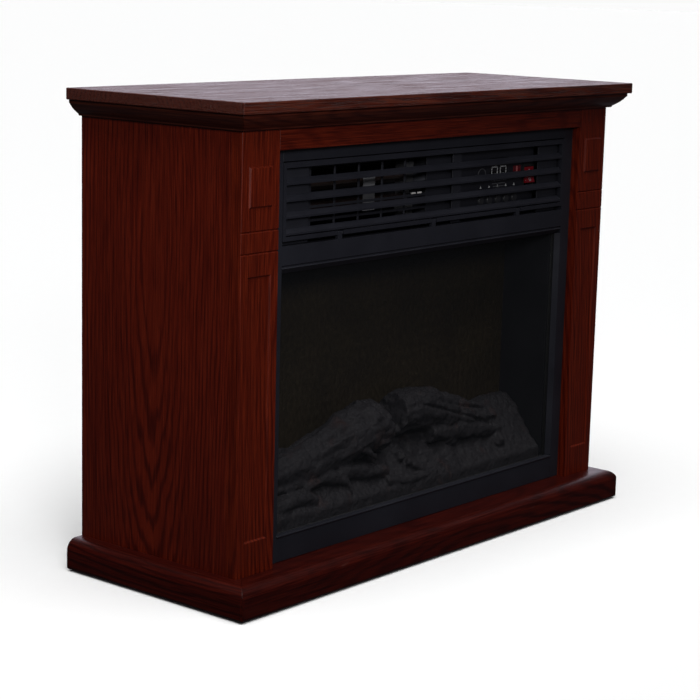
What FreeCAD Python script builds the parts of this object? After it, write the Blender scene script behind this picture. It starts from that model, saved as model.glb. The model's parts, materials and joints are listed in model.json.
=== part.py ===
import FreeCAD, Part
import math
import os

# Free-standing electric fireplace in a wooden mantel, one solid or group of solids per piece.
# Frame: X across the front (left is -X), Y towards the back, Z up. Millimetres.
# Origin: middle of the footprint, on the floor.

Vector = FreeCAD.Vector

# ---------------------------------------------------------------- driving dimensions
overall_w = 844.0
overall_d = 317.0
overall_h = 635.0

# mantel
slab_t = 15.0
slab_edge_r = 1.5
side_overhang = 27.0
slab_front_overhang = 27.0
base_front_overhang = 36.0
cornice_h = 21.0
cornice_out = 22.0
cornice_foot = 6.0
panel_t = 15.0
front_t = 18.0
pilaster_w = 67.0
rail_drop = 27.0
base_h = 44.0
base_moulding_w = 60.0
base_top_r = 16.0
base_bottom_r = 4.0
base_corner_r = 5.0
bottom_panel_t = 12.0
cleat = 18.0
corner_block = 36.0
glide_h = 2.5
glide_r = 11.0

# pilaster ornament
tablet_w = 42.0
tablet_h = 50.0
tablet_raise = 2.0
tablet_bevel = 2.0
tablet_below_rail = 17.0
reveal_w = 3.0
reveal_deep = 1.5
reveal_spacing = 26.5
reveal_below_tablet = 29.0
sunk_panel_w = 42.0
sunk_panel_deep = 2.0
sunk_panel_bevel = 2.0
sunk_panel_foot = 43.0
sunk_panel_below_reveal = 28.0

# back
back_t = 3.0
back_inset = 5.0
back_rabbet = 8.0
vent_slot_h = 5.0
vent_slot_w = 60.0
vent_pitch_x = 74.0
vent_pitch_z = 12.0
vent_rows = 7
gland_r = 8.0
gland_flange_r = 12.0
gland_flange_t = 3.0
gland_bore_r = 4.0
gland_z = 96.0
gland_from_side = 90.0

# insert frame
insert_recess = 13.0
frame_depth = 12.0
stile_w = 21.0
bezel_w = 7.0
bezel_depth = 6.0
frame_gap = 0.3
flange_w = 16.0
flange_t = 2.0
top_bar_h = 16.0
door_bay_h = 105.0
band_flat_h = 24.0
band_foot = 11.0
band_lip = 1.4
bottom_rail_h = 32.0
bottom_lip = 4.0

# glass
glass_t = 4.0
glass_overlap = 12.0
glass_gap = 0.5

# louvre door
door_side_gap = 0.7
door_top_gap = 1.0
door_foot_gap = 6.0
door_t = 6.5
door_front_set = 1.0
door_top_rail_h = 7.0
door_foot_rail_h = 5.5
door_cap_w = 5.0
blade_count = 4
blade_pitch = 20.9
blade_rise = 5.4
blade_edge = 2.6
blade_below_top = 28.2
hinge_axis_up = 2.5
hinge_axis_in = 3.2
hinge_pin_r = 1.2
hinge_pin_gap = 0.06
lug_r = 2.4
lug_w = 8.0
lug_side_gap = 2.0
lug_spacing = 196.0

# steel case behind the frame
sheet = 1.5
case_depth = 191.5
case_in = 3.0
case_flange_w = 20.0
case_floor_z = 64.0
divider_up = 2.0

# heater bay
front_plate_set = 7.0
end_plate_w = 48.0
post_w = 20.0
post_to_controls = 2.0
post_web_depth = 97.5
bay_clear = 0.5
grid_set = 16.0
grid_left = 59.0
grid_blank = 45.0
grid_pitch_x = 49.0
grid_pitch_z = 17.2
grid_bar = 3.5
grid_rows = 5
grid_foot = 8.0
duct_depth = 87.5
duct_t = 1.2
duct_rim = 3.0
reflector_r = 34.0
reflector_t = 0.8
reflector_half_angle = 88.0
holder_end_gap = 7.0
tube_r = 6.0
tube_wall = 1.2
tube_spacing = 26.0
tube_depth = 47.0
holder_w = 14.0
holder_t = 20.0
tube_bite = 8.0
tube_fit = 0.15
coil_r = 2.2

# crossflow blower
wheel_r = 30.0
wheel_blades = 20
wheel_blade_deep = 9.0
wheel_blade_t = 0.9
wheel_disc_t = 1.6
wheel_end_gap = 4.0
wheel_behind_duct = 44.0
scroll_gap = 9.0
scroll_t = 1.2
blower_shaft_r = 3.0
shaft_gap = 0.06
blower_motor_l = 34.0
blower_motor_r = 27.0

# controls
controls_w = 180.0
controls_set = 14.0
controls_t = 2.0
display_w = 44.0
display_h = 27.0
display_from_right = 62.0
display_up = 69.0
button_count = 5
button_r = 6.0
button_pitch = 20.0
button_from_right = 126.5
button_up = 24.0
button_proud = 2.5
button_travel = 1.2
button_gap = 0.35
button_flange = 1.2
stem_r = 2.0
rocker_w = 21.0
rocker_h = 27.0
rocker_wall = 2.2
rocker_gap = 0.4
rocker_tilt = 8.0
rocker_pivot_deep = 9.0
rocker_pin_r = 1.2
rocker_body_deep = 20.0
rocker_bezel = 1.5
rocker_from_right = 12.7
rocker_up = 53.0
board_behind = 13.0
board_t = 1.6
board_margin = 7.0

# firebox and flame effect
screen_depth = 92.0
screen_t = 3.0
logs_gap = 0.5
bed_front_z = 95.0
bed_back_z = 165.0
bed_rise_depth = 63.0
log_r = 22.0
rotor_depth = 137.0
rotor_z = 116.0
rotor_shaft_r = 2.5
rotor_flap_w = 14.0
rotor_flap_h = 20.0
rotor_flap_t = 0.8
rotor_flap_pitch = 20.0
rotor_rows = 3
rotor_twist = 24.0
rotor_hub_r = 4.5
rotor_motor_r = 24.0
rotor_motor_l = 18.0
bracket_t = 2.0
bracket_w = 40.0
rotor_left_room = 14.0
rotor_right_room = 33.0
led_board_h = 20.0
led_board_depth = 177.0
led_pitch = 40.0
led_r = 2.5

# screws
screw_r = 1.6
screw_head_r = 3.6
screw_head_t = 2.0
screw_l = 10.0
pilot_gap = 0.05

# ---------------------------------------------------------------- derived places
front_y = -overall_d / 2 + base_front_overhang
back_y = overall_d / 2
base_front_y = -overall_d / 2
body_hw = overall_w / 2 - side_overhang
panel_in_x = body_hw - panel_t
slab_z = overall_h - slab_t
cornice_z = slab_z - cornice_h
rail_z = cornice_z - rail_drop
open_hw = body_hw - pilaster_w
base_in_x = overall_w / 2 - base_moulding_w
base_in_y = base_front_y + base_moulding_w
panel_front_y = front_y + front_t
back_face_y = back_y - back_inset
bottom_panel_z = base_h - bottom_panel_t
rear_rail_y = back_y - front_t

frame_y = front_y + insert_recess
frame_back_y = frame_y + frame_depth
glass_y = frame_y + bezel_depth
stile_in_x = open_hw - stile_w
bezel_in_x = stile_in_x - bezel_w
top_bar_z = rail_z - top_bar_h
band_top_z = top_bar_z - door_bay_h
band_flat_z = band_top_z - band_flat_h
band_foot_z = band_flat_z - band_foot
bottom_rail_z = base_h + bottom_rail_h
sight_foot_z = bottom_rail_z + bottom_lip

door_hw = stile_in_x - door_side_gap
door_y = frame_y - door_front_set
door_back_y = door_y + door_t
door_top_z = top_bar_z - door_top_gap
door_foot_z = band_top_z + door_foot_gap
hinge_y = door_y + hinge_axis_in
hinge_z = door_foot_z + hinge_axis_up
lug_places = [-lug_spacing, 0.0, lug_spacing]

case_hw = bezel_in_x - case_in
case_front_y = frame_back_y
case_back_y = case_front_y + case_depth
case_top_z = top_bar_z + top_bar_h / 2 + divider_up
divider_z = band_flat_z + divider_up + sheet

bay_z0 = band_top_z + bay_clear
bay_z1 = top_bar_z - bay_clear
plate_y = frame_y + front_plate_set
end_plate_x = case_hw + divider_up - end_plate_w
controls_x1 = end_plate_x - sheet
controls_x0 = controls_x1 - controls_w
post_x1 = controls_x0 - post_to_controls
post_x0 = post_x1 - post_w
post_web_x = (post_x0 + post_x1) / 2
grid_y = frame_y + grid_set
grid_x0 = -case_hw + grid_left
grid_x1 = post_x0 - grid_blank
duct_x0 = grid_x0 - duct_rim
duct_x1 = grid_x1 + duct_rim
duct_y0 = grid_y + sheet
duct_y1 = duct_y0 + duct_depth
duct_z0 = bay_z0 + grid_foot - duct_rim
duct_z1 = duct_z0 + grid_rows * grid_pitch_z + 2 * duct_rim
duct_mid_z = (duct_z0 + duct_z1) / 2
tube_y = frame_y + tube_depth
holder_x0 = duct_x0 + holder_end_gap
holder_x1 = duct_x1 - holder_end_gap
tubes_x0 = holder_x0 + holder_w - tube_bite
tubes_x1 = holder_x1 - holder_w + tube_bite

wheel_y = duct_y1 + wheel_behind_duct
wheel_z = duct_mid_z
wheel_x0 = duct_x0 + wheel_end_gap
wheel_x1 = duct_x1 - wheel_end_gap
scroll_r = wheel_r + scroll_gap
blower_motor_x0 = duct_x1 + duct_t

controls_y = frame_y + controls_set
display_x = controls_x1 - display_from_right - display_w / 2
display_z = bay_z0 + display_up
button_x0 = controls_x1 - button_from_right
button_z = bay_z0 + button_up
rocker_x = controls_x1 - rocker_from_right
rocker_z = bay_z0 + rocker_up
rocker_pivot_y = controls_y + rocker_pivot_deep
board_y = controls_y + controls_t + board_behind

screen_y = frame_y + screen_depth
rotor_y = frame_y + rotor_depth
rotor_x0 = -case_hw + rotor_left_room
rotor_x1 = case_hw - rotor_right_room

pilaster_mid_x = (open_hw + body_hw) / 2
tablet_z1 = rail_z - tablet_below_rail
tablet_z0 = tablet_z1 - tablet_h
reveal_z1 = tablet_z0 - reveal_below_tablet
reveal_z0 = reveal_z1 - reveal_spacing
sunk_z1 = reveal_z0 - sunk_panel_below_reveal
sunk_z0 = base_h + sunk_panel_foot


# ---------------------------------------------------------------- helpers
def box(x0, x1, y0, y1, z0, z1):
    return Part.makeBox(x1 - x0, y1 - y0, z1 - z0, Vector(x0, y0, z0))


def rod_x(x0, x1, y, z, r):
    return Part.makeCylinder(r, x1 - x0, Vector(x0, y, z), Vector(1, 0, 0))


def rod_y(x, y0, y1, z, r):
    return Part.makeCylinder(r, y1 - y0, Vector(x, y0, z), Vector(0, 1, 0))


def rod_z(x, y, z0, z1, r):
    return Part.makeCylinder(r, z1 - z0, Vector(x, y, z0), Vector(0, 0, 1))


def prism(points, sweep):
    """Closed polygon swept along a vector."""
    return Part.Face(Part.makePolygon(points + [points[0]])).extrude(sweep)


def section_x(outline, x0, x1):
    """Polygon of (y, z) points swept along X."""
    return prism([Vector(x0, y, z) for y, z in outline], Vector(x1 - x0, 0, 0))


def mirrored(shape):
    return shape.mirror(Vector(0, 0, 0), Vector(1, 0, 0))


def group(shapes):
    return Part.makeCompound(shapes)


def fused(shapes):
    return shapes[0].fuse(shapes[1:]).removeSplitter()


def line(a, b):
    return Part.LineSegment(a, b).toShape()


def arc(a, mid, b):
    return Part.Arc(a, mid, b).toShape()


# ---------------------------------------------------------------- screws
def side_screw_heights():
    span = slab_z - base_h
    return [base_h + span * share for share in (0.08, 0.36, 0.64, 0.92)]


def back_screw_places():
    x = panel_in_x + back_rabbet / 2
    return [(side * x, z) for side in (-1, 1) for z in side_screw_heights()]


def frame_screw_places():
    x = open_hw + flange_w / 2
    span = rail_z - base_h
    return [(side * x, base_h + span * share) for side in (-1, 1) for share in (0.1, 0.5, 0.9)]


def screw(x, head_y, z):
    """Pan-head screw, its head's seat at head_y, pointing to -Y."""
    head = rod_y(x, head_y, head_y + screw_head_t, z, screw_head_r)
    head = head.makeFillet(screw_head_t / 3, [head.Edges[0]])
    slot = box(x - screw_head_r, x + screw_head_r, head_y + screw_head_t * 0.6, head_y + screw_head_t * 2,
               z - screw_r / 4, z + screw_r / 4)
    return head.cut(slot).fuse(rod_y(x, head_y - screw_l, head_y, z, screw_r)).removeSplitter()


def pilot_holes(places, head_y):
    return [rod_y(x, head_y - screw_l - 1, head_y + 1, z, screw_r + pilot_gap) for x, z in places]


def screws():
    heads_back = [screw(x, back_face_y, z) for x, z in back_screw_places()]
    heads_frame = [screw(x, panel_front_y + flange_t, z) for x, z in frame_screw_places()]
    return group(heads_back + heads_frame)


# ---------------------------------------------------------------- mantel woodwork
def top_board():
    slab = box(-overall_w / 2, overall_w / 2, front_y - slab_front_overhang, back_y, slab_z, overall_h)
    eased = [e for e in slab.Edges if min(v.Y for v in e.Vertexes) < back_y - 1]
    return slab.makeFillet(slab_edge_r, eased)


def cornice_profile(place):
    """Face of the cornice moulding; place(out, z) puts a point out from the body's face."""
    foot_top = cornice_z + 2.0
    nose_z = cornice_z + cornice_h * 0.82
    p = [place(0, cornice_z), place(cornice_foot, cornice_z), place(cornice_foot, foot_top),
         place(cornice_out - 1.0, nose_z - 1.5), place(cornice_out, nose_z), place(cornice_out, slab_z),
         place(0, slab_z)]
    swell = place((cornice_foot + cornice_out) / 2 + 0.3, (foot_top + nose_z) / 2 - 1.6)
    nose = place(cornice_out - 0.25, nose_z - 0.8)
    edges = [line(p[0], p[1]), line(p[1], p[2]), arc(p[2], swell, p[3]), arc(p[3], nose, p[4]),
             line(p[4], p[5]), line(p[5], p[6]), line(p[6], p[0])]
    return Part.Face(Part.Wire(edges))


def cornice_front():
    reach = cornice_out + 5.0
    face = cornice_profile(lambda out, z: Vector(-body_hw - reach, front_y - out, z))
    length = 2 * (body_hw + reach)
    mitre = [Vector(-body_hw, front_y, 0), Vector(body_hw, front_y, 0),
             Vector(body_hw + reach, front_y - reach, 0), Vector(-body_hw - reach, front_y - reach, 0)]
    return face.extrude(Vector(length, 0, 0)).common(prism(mitre, Vector(0, 0, overall_h)))


def cornice_right():
    reach = cornice_out + 5.0
    face = cornice_profile(lambda out, z: Vector(body_hw + out, front_y - reach, z))
    mitre = [Vector(body_hw, front_y, 0), Vector(body_hw, back_y, 0),
             Vector(body_hw + reach, back_y, 0), Vector(body_hw + reach, front_y - reach, 0)]
    length = back_y - front_y + reach
    return face.extrude(Vector(0, length, 0)).common(prism(mitre, Vector(0, 0, overall_h)))


def side_panel_right():
    panel = box(panel_in_x, body_hw, panel_front_y, back_y, base_h, slab_z)
    rabbet = box(panel_in_x - 1, panel_in_x + back_rabbet, back_face_y - back_t, back_y + 1,
                 base_h - 1, slab_z + 1)
    holes = pilot_holes([p for p in back_screw_places() if p[0] > 0], back_face_y)
    return panel.cut([rabbet] + holes)


def rectangle_y(cx, half_w, y, z0, z1):
    corners = [Vector(cx - half_w, y, z0), Vector(cx + half_w, y, z0),
               Vector(cx + half_w, y, z1), Vector(cx - half_w, y, z1)]
    return Part.makePolygon(corners + [corners[0]])


def tablet():
    """Bevelled block on the face of the right pilaster."""
    foot = rectangle_y(pilaster_mid_x, tablet_w / 2, front_y, tablet_z0, tablet_z1)
    crown = rectangle_y(pilaster_mid_x, tablet_w / 2 - tablet_bevel, front_y - tablet_raise,
                        tablet_z0 + tablet_bevel, tablet_z1 - tablet_bevel)
    return Part.makeLoft([foot, crown], True, True)


def sunk_panel():
    mouth = rectangle_y(pilaster_mid_x, sunk_panel_w / 2, front_y, sunk_z0, sunk_z1)
    floor = rectangle_y(pilaster_mid_x, sunk_panel_w / 2 - sunk_panel_bevel, front_y + sunk_panel_deep,
                        sunk_z0 + sunk_panel_bevel, sunk_z1 - sunk_panel_bevel)
    return Part.makeLoft([mouth, floor], True, True)


def reveal(z):
    """V-shaped line cut across the pilaster's face."""
    outline = [(front_y, z - reveal_w / 2), (front_y, z + reveal_w / 2), (front_y + reveal_deep, z)]
    return section_x(outline, open_hw - 1, body_hw + 1)


def pilaster_right():
    post = box(open_hw, body_hw, front_y, panel_front_y, base_h, slab_z)
    corner = [e for e in post.Edges
              if all(v.X > body_hw - 0.01 and v.Y < front_y + 0.01 for v in e.Vertexes)]
    post = post.makeFillet(slab_edge_r, corner)
    holes = pilot_holes([p for p in frame_screw_places() if p[0] > 0], panel_front_y + flange_t)
    post = post.cut([sunk_panel(), reveal(reveal_z0), reveal(reveal_z1)] + holes)
    return post.fuse(tablet()).removeSplitter()


def top_rail():
    return box(-open_hw, open_hw, front_y, panel_front_y, rail_z, slab_z)


def base_profile(place):
    """Section of the base moulding; place(inward, z) puts a point in from its outer face."""
    top = base_h
    foot = glide_h
    k = 1 - math.sqrt(0.5)
    p = [place(base_bottom_r, foot), place(0, foot + base_bottom_r), place(0, top - base_top_r),
         place(base_top_r, top), place(base_moulding_w, top), place(base_moulding_w, foot)]
    low = place(base_bottom_r * k, foot + base_bottom_r * k)
    high = place(base_top_r * k, top - base_top_r * k)
    edges = [arc(p[0], low, p[1]), line(p[1], p[2]), arc(p[2], high, p[3]),
             line(p[3], p[4]), line(p[4], p[5]), line(p[5], p[0])]
    return Part.Face(Part.Wire(edges))


def base_corner_cut():
    """What comes off the right front corner of the base to round it."""
    x = overall_w / 2
    y = base_front_y
    r = base_corner_r
    square = box(x - r, x + r, y - r, y + r, -1, base_h + 1)
    return square.cut(rod_z(x - r, y + r, -1, base_h + 1, r))


def base_front():
    half = overall_w / 2
    face = base_profile(lambda inward, z: Vector(-half, base_front_y + inward, z))
    mitre = [Vector(-half, base_front_y, 0), Vector(half, base_front_y, 0),
             Vector(base_in_x, base_in_y, 0), Vector(-base_in_x, base_in_y, 0)]
    bar = face.extrude(Vector(overall_w, 0, 0)).common(prism(mitre, Vector(0, 0, overall_h)))
    return bar.cut([base_corner_cut(), mirrored(base_corner_cut())])


def base_right():
    half = overall_w / 2
    face = base_profile(lambda inward, z: Vector(half - inward, base_front_y, z))
    mitre = [Vector(half, base_front_y, 0), Vector(half, back_y, 0),
             Vector(base_in_x, back_y, 0), Vector(base_in_x, base_in_y, 0)]
    bar = face.extrude(Vector(0, overall_d, 0)).common(prism(mitre, Vector(0, 0, overall_h)))
    return bar.cut(base_corner_cut())


def base_rear():
    return box(-base_in_x, base_in_x, rear_rail_y, back_y, glide_h, bottom_panel_z)


def bottom_panel():
    return box(-base_in_x, base_in_x, base_in_y, back_y, bottom_panel_z, base_h)


def corner_blocks():
    blocks = []
    for x0, x1 in ((-base_in_x, -base_in_x + corner_block), (base_in_x - corner_block, base_in_x)):
        for y0, y1 in ((base_in_y, base_in_y + corner_block), (rear_rail_y - corner_block, rear_rail_y)):
            blocks.append(box(x0, x1, y0, y1, glide_h, bottom_panel_z))
    return group(blocks)


def top_cleats():
    right = box(panel_in_x - cleat, panel_in_x, panel_front_y, back_face_y - back_t - 1, slab_z - cleat, slab_z)
    return group([mirrored(right), right])


def glides():
    x = overall_w / 2 - base_moulding_w / 2
    inset = base_moulding_w / 2
    discs = []
    for gx in (-x, x):
        for gy in (base_front_y + inset, back_y - inset):
            disc = rod_z(gx, gy, 0, glide_h, glide_r)
            rim = [e for e in disc.Edges if e.BoundBox.ZMax < 0.01]
            discs.append(disc.makeFillet(glide_h / 3, rim))
    return group(discs)


# ---------------------------------------------------------------- back
def vent_slots(y0, y1):
    """Rows of slots behind the blower."""
    mid_x = (wheel_x0 + wheel_x1) / 2
    slots = []
    for column in (-1, 0, 1):
        for row in range(vent_rows):
            x = mid_x + column * vent_pitch_x
            z = wheel_z + (row - (vent_rows - 1) / 2) * vent_pitch_z
            slot = box(x - vent_slot_w / 2, x + vent_slot_w / 2, y0, y1,
                       z - vent_slot_h / 2, z + vent_slot_h / 2)
            ends = [e for e in slot.Edges
                    if abs(e.Vertexes[0].Y - e.Vertexes[1].Y) > 0.1]
            slots.append(slot.makeFillet(vent_slot_h * 0.45, ends))
    return slots


def gland_x():
    return body_hw - gland_from_side


def back_panel():
    edge = panel_in_x + back_rabbet - glass_gap
    panel = box(-edge, edge, back_face_y - back_t, back_face_y, base_h + glass_gap, slab_z - glass_gap)
    holes = pilot_holes(back_screw_places(), back_face_y)
    gland_hole = rod_y(gland_x(), back_face_y - back_t - 1, back_face_y + 1, gland_z, gland_r)
    return panel.cut(vent_slots(back_face_y - back_t - 1, back_face_y + 1) + holes + [gland_hole])


def cord_gland():
    flange = rod_y(gland_x(), back_face_y, back_face_y + gland_flange_t, gland_z, gland_flange_r)
    flange = flange.makeFillet(gland_flange_t / 3, [e for e in flange.Edges
                                                     if e.BoundBox.YMin > back_face_y + 1])
    barrel = rod_y(gland_x(), back_face_y - back_t, back_face_y, gland_z, gland_r)
    nut = rod_y(gland_x(), back_face_y - back_t - gland_flange_t, back_face_y - back_t, gland_z,
                gland_flange_r)
    bore = rod_y(gland_x(), back_face_y - back_t - gland_flange_t - 1, back_face_y + gland_flange_t + 1,
                 gland_z, gland_bore_r)
    return fused([flange, barrel, nut]).cut(bore)


# ---------------------------------------------------------------- insert frame
def stile_right():
    face = box(stile_in_x, open_hw - frame_gap, frame_y, frame_back_y, base_h + frame_gap, rail_z - frame_gap)
    flange = box(open_hw - frame_gap, open_hw + flange_w, panel_front_y, panel_front_y + flange_t,
                 base_h + frame_gap, rail_z - frame_gap)
    holes = pilot_holes([p for p in frame_screw_places() if p[0] > 0], panel_front_y + flange_t)
    wedge = [Vector(stile_in_x, frame_y, sight_foot_z), Vector(stile_in_x, glass_y, sight_foot_z),
             Vector(bezel_in_x, glass_y, sight_foot_z)]
    bezel = prism(wedge, Vector(0, 0, band_foot_z - sight_foot_z))
    return fused([face, flange, bezel]).cut(holes)


def frame_top_bar():
    outline = [(frame_y, top_bar_z), (frame_y, rail_z - frame_gap), (frame_back_y, rail_z - frame_gap),
               (frame_back_y, top_bar_z)]
    return section_x(outline, -stile_in_x, stile_in_x)


def hinge_lug(x):
    """Ear on the band that carries one of the door's pins."""
    stem = box(x - lug_w / 2, x + lug_w / 2, hinge_y - lug_r, hinge_y + lug_r, band_top_z, hinge_z)
    eye = rod_x(x - lug_w / 2, x + lug_w / 2, hinge_y, hinge_z, lug_r)
    bore = rod_x(x - lug_w, x + lug_w, hinge_y, hinge_z, hinge_pin_r + hinge_pin_gap)
    return fused([stem, eye]).cut(bore)


def frame_mid_band():
    y = frame_y
    outline = [(y, band_top_z), (y, band_flat_z), (y + band_lip, band_flat_z - band_lip),
               (y + band_lip, band_flat_z - 2 * band_lip), (y, band_flat_z - 3 * band_lip),
               (glass_y, band_foot_z), (glass_y, band_flat_z + glass_gap * 2),
               (frame_back_y, band_flat_z + glass_gap * 2), (frame_back_y, band_top_z)]
    band = section_x(outline, -stile_in_x, stile_in_x)
    return fused([band] + [hinge_lug(x) for x in lug_places])


def frame_bottom_rail():
    y = frame_y
    lip = bottom_lip / 4
    outline = [(y, base_h + frame_gap), (y, bottom_rail_z), (y - lip, bottom_rail_z + lip),
               (y - lip, bottom_rail_z + 2 * lip), (y, sight_foot_z - lip), (glass_y, sight_foot_z),
               (glass_y, sight_foot_z - glass_overlap + lip * 2),
               (frame_back_y, sight_foot_z - glass_overlap + lip * 2), (frame_back_y, base_h + frame_gap)]
    return section_x(outline, -stile_in_x, stile_in_x)


def glass_edges():
    half = stile_in_x - glass_gap
    return half, sight_foot_z - glass_overlap + bottom_lip, band_flat_z


def glass_pane():
    half, z0, z1 = glass_edges()
    return box(-half, half, glass_y, glass_y + glass_t, z0, z1)


def glass_gasket():
    """Four strips of woven gasket between the glass and the case."""
    half, z0, z1 = glass_edges()
    y0 = glass_y + glass_t
    y1 = frame_back_y
    w = bezel_w - glass_gap
    right = box(half - w, half, y0, y1, z0, z1)
    low = box(-half + w, half - w, y0, y1, z0, z0 + w)
    high = box(-half + w, half - w, y0, y1, z1 - w, z1)
    return group([mirrored(right), right, low, high])


# ---------------------------------------------------------------- louvre door
def door_blade(top_z):
    """Sloping slat: its front edge is low, its back edge is high."""
    z = top_z - blade_rise - blade_edge
    outline = [(door_y, z), (door_y, z + blade_edge), (door_back_y, top_z), (door_back_y, top_z - blade_edge)]
    return section_x(outline, -door_hw + door_cap_w / 2, door_hw - door_cap_w / 2)


def louver_door():
    blades = [door_blade(door_top_z - blade_below_top + blade_rise + blade_edge - i * blade_pitch)
              for i in range(blade_count)]
    head = box(-door_hw, door_hw, door_y, door_back_y, door_top_z - door_top_rail_h, door_top_z)
    foot = box(-door_hw, door_hw, door_y, door_back_y, door_foot_z, door_foot_z + door_foot_rail_h)
    caps = [box(-door_hw, -door_hw + door_cap_w, door_y, door_back_y, door_foot_z, door_top_z),
            box(door_hw - door_cap_w, door_hw, door_y, door_back_y, door_foot_z, door_top_z)]
    body = fused([head, foot] + caps + blades)
    half_notch = lug_w / 2 + lug_side_gap
    notches = [box(x - half_notch, x + half_notch, door_y - 1, door_back_y + 1, door_foot_z - 1,
                   door_foot_z + door_foot_rail_h) for x in lug_places]
    pins = [rod_x(x - half_notch - 1, x + half_notch + 1, hinge_y, hinge_z, hinge_pin_r) for x in lug_places]
    return fused([body.cut(notches)] + pins)


# ---------------------------------------------------------------- steel case
def case_side_right():
    wall = box(case_hw, case_hw + sheet, case_front_y, case_back_y, base_h, case_top_z)
    lip = box(case_hw + sheet, case_hw + case_flange_w, case_front_y, case_front_y + sheet, base_h, case_top_z)
    return wall.fuse(lip).removeSplitter()


def case_top():
    edge = case_hw + sheet
    return box(-edge, edge, case_front_y, case_back_y, case_top_z, case_top_z + sheet)


def case_floor():
    return box(-case_hw, case_hw, case_front_y, case_back_y - sheet, case_floor_z, case_floor_z + sheet)


def case_divider():
    return box(-case_hw, case_hw, case_front_y, case_back_y - sheet, divider_z, divider_z + sheet)


def case_back():
    panel = box(-case_hw, case_hw, case_back_y - sheet, case_back_y, base_h, case_top_z)
    return panel.cut(vent_slots(case_back_y - sheet - 1, case_back_y + 1))


# ---------------------------------------------------------------- heater bay
def heater_front_plates():
    """Blank plates at both ends of the bay and the post between outlet and controls."""
    end = box(end_plate_x, case_hw + divider_up, plate_y, plate_y + sheet, bay_z0, bay_z1)
    leg = box(case_hw - sheet, case_hw, plate_y + sheet, case_front_y + end_plate_w / 2, bay_z0, bay_z1)
    right = fused([end, leg])
    face = box(post_x0, post_x1, plate_y, plate_y + sheet, bay_z0, bay_z1)
    web = box(post_web_x, post_web_x + sheet, plate_y + sheet, plate_y + post_web_depth, bay_z0, bay_z1)
    return group([mirrored(right), right, fused([face, web])])


def outlet_grid():
    plate = box(-case_hw + sheet, post_web_x, grid_y, grid_y + sheet, bay_z0, bay_z1)
    width = grid_x1 - grid_x0
    columns = max(1, round(width / grid_pitch_x))
    step = width / columns
    holes = []
    for column in range(columns):
        for row in range(grid_rows):
            x = grid_x0 + column * step
            z = bay_z0 + grid_foot + row * grid_pitch_z
            holes.append(box(x + grid_bar / 2, x + step - grid_bar / 2, grid_y - 1, grid_y + sheet + 1,
                             z + grid_bar / 2, z + grid_pitch_z - grid_bar / 2))
    return plate.cut(holes)


def heater_duct():
    top = box(duct_x0, duct_x1, duct_y0, duct_y1, duct_z1, duct_z1 + duct_t)
    bottom = box(duct_x0, duct_x1, duct_y0, duct_y1, duct_z0 - duct_t, duct_z0)
    left = box(duct_x0 - duct_t, duct_x0, duct_y0, duct_y1, duct_z0 - duct_t, duct_z1 + duct_t)
    right = box(duct_x1, duct_x1 + duct_t, duct_y0, duct_y1, duct_z0 - duct_t, duct_z1 + duct_t)
    return group([top, bottom, left, right])


def arc_sheet(cx, cz, radius, thickness, start, end, x0, x1):
    """Sheet bent round the X axis through (y=cx, z=cz), angles in degrees from +Y."""
    def at(r, degrees):
        turn = math.radians(degrees)
        return Vector(x0, cx + r * math.cos(turn), cz + r * math.sin(turn))
    mid = (start + end) / 2
    outer = radius + thickness
    edges = [arc(at(radius, start), at(radius, mid), at(radius, end)),
             line(at(radius, end), at(outer, end)),
             arc(at(outer, end), at(outer, mid), at(outer, start)),
             line(at(outer, start), at(radius, start))]
    return Part.Face(Part.Wire(edges)).extrude(Vector(x1 - x0, 0, 0))


def reflector():
    return arc_sheet(tube_y, duct_mid_z, reflector_r, reflector_t, -reflector_half_angle,
                     reflector_half_angle, holder_x0 + holder_w, holder_x1 - holder_w)


def tube_heights():
    return [duct_mid_z - tube_spacing / 2, duct_mid_z + tube_spacing / 2]


def tube_holders():
    blocks = []
    for x0 in (holder_x0, holder_x1 - holder_w):
        block = box(x0, x0 + holder_w, tube_y - holder_t / 2, tube_y + holder_t / 2, duct_z0,
                    duct_mid_z + reflector_r + 2 * reflector_t)
        sockets = [rod_x(tubes_x0, tubes_x1, tube_y, z, tube_r + tube_fit) for z in tube_heights()]
        leads = [rod_x(holder_x0, holder_x1, tube_y, z, coil_r) for z in tube_heights()]
        blocks.append(block.cut(sockets + leads))
    return group(blocks)


def quartz_tubes():
    tubes = []
    for z in tube_heights():
        hollow = rod_x(tubes_x0 - 1, tubes_x1 + 1, tube_y, z, tube_r - tube_wall)
        tubes.append(rod_x(tubes_x0, tubes_x1, tube_y, z, tube_r).cut(hollow))
    return group(tubes)


def heating_coils():
    return group([rod_x(holder_x0, holder_x1, tube_y, z, coil_r) for z in tube_heights()])


# ---------------------------------------------------------------- blower
def blower_wheel():
    discs = [rod_x(x, x + wheel_disc_t, wheel_y, wheel_z, wheel_r)
             for x in (wheel_x0, (wheel_x0 + wheel_x1 - wheel_disc_t) / 2, wheel_x1 - wheel_disc_t)]
    blade = box(wheel_x0, wheel_x1, wheel_y - wheel_blade_t / 2, wheel_y + wheel_blade_t / 2,
                wheel_z + wheel_r - wheel_blade_deep, wheel_z + wheel_r - 0.5)
    axis = Vector(1, 0, 0)
    blade.rotate(Vector(0, wheel_y, wheel_z + wheel_r - wheel_blade_deep / 2), axis, 25)
    blades = []
    for i in range(wheel_blades):
        copy = blade.copy()
        copy.rotate(Vector(0, wheel_y, wheel_z), axis, i * 360 / wheel_blades)
        blades.append(copy)
    shaft = rod_x(duct_x0 - duct_t - 4, blower_motor_x0 + blower_motor_l * 0.7, wheel_y, wheel_z,
                  blower_shaft_r)
    return fused(discs + blades + [shaft])


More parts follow.
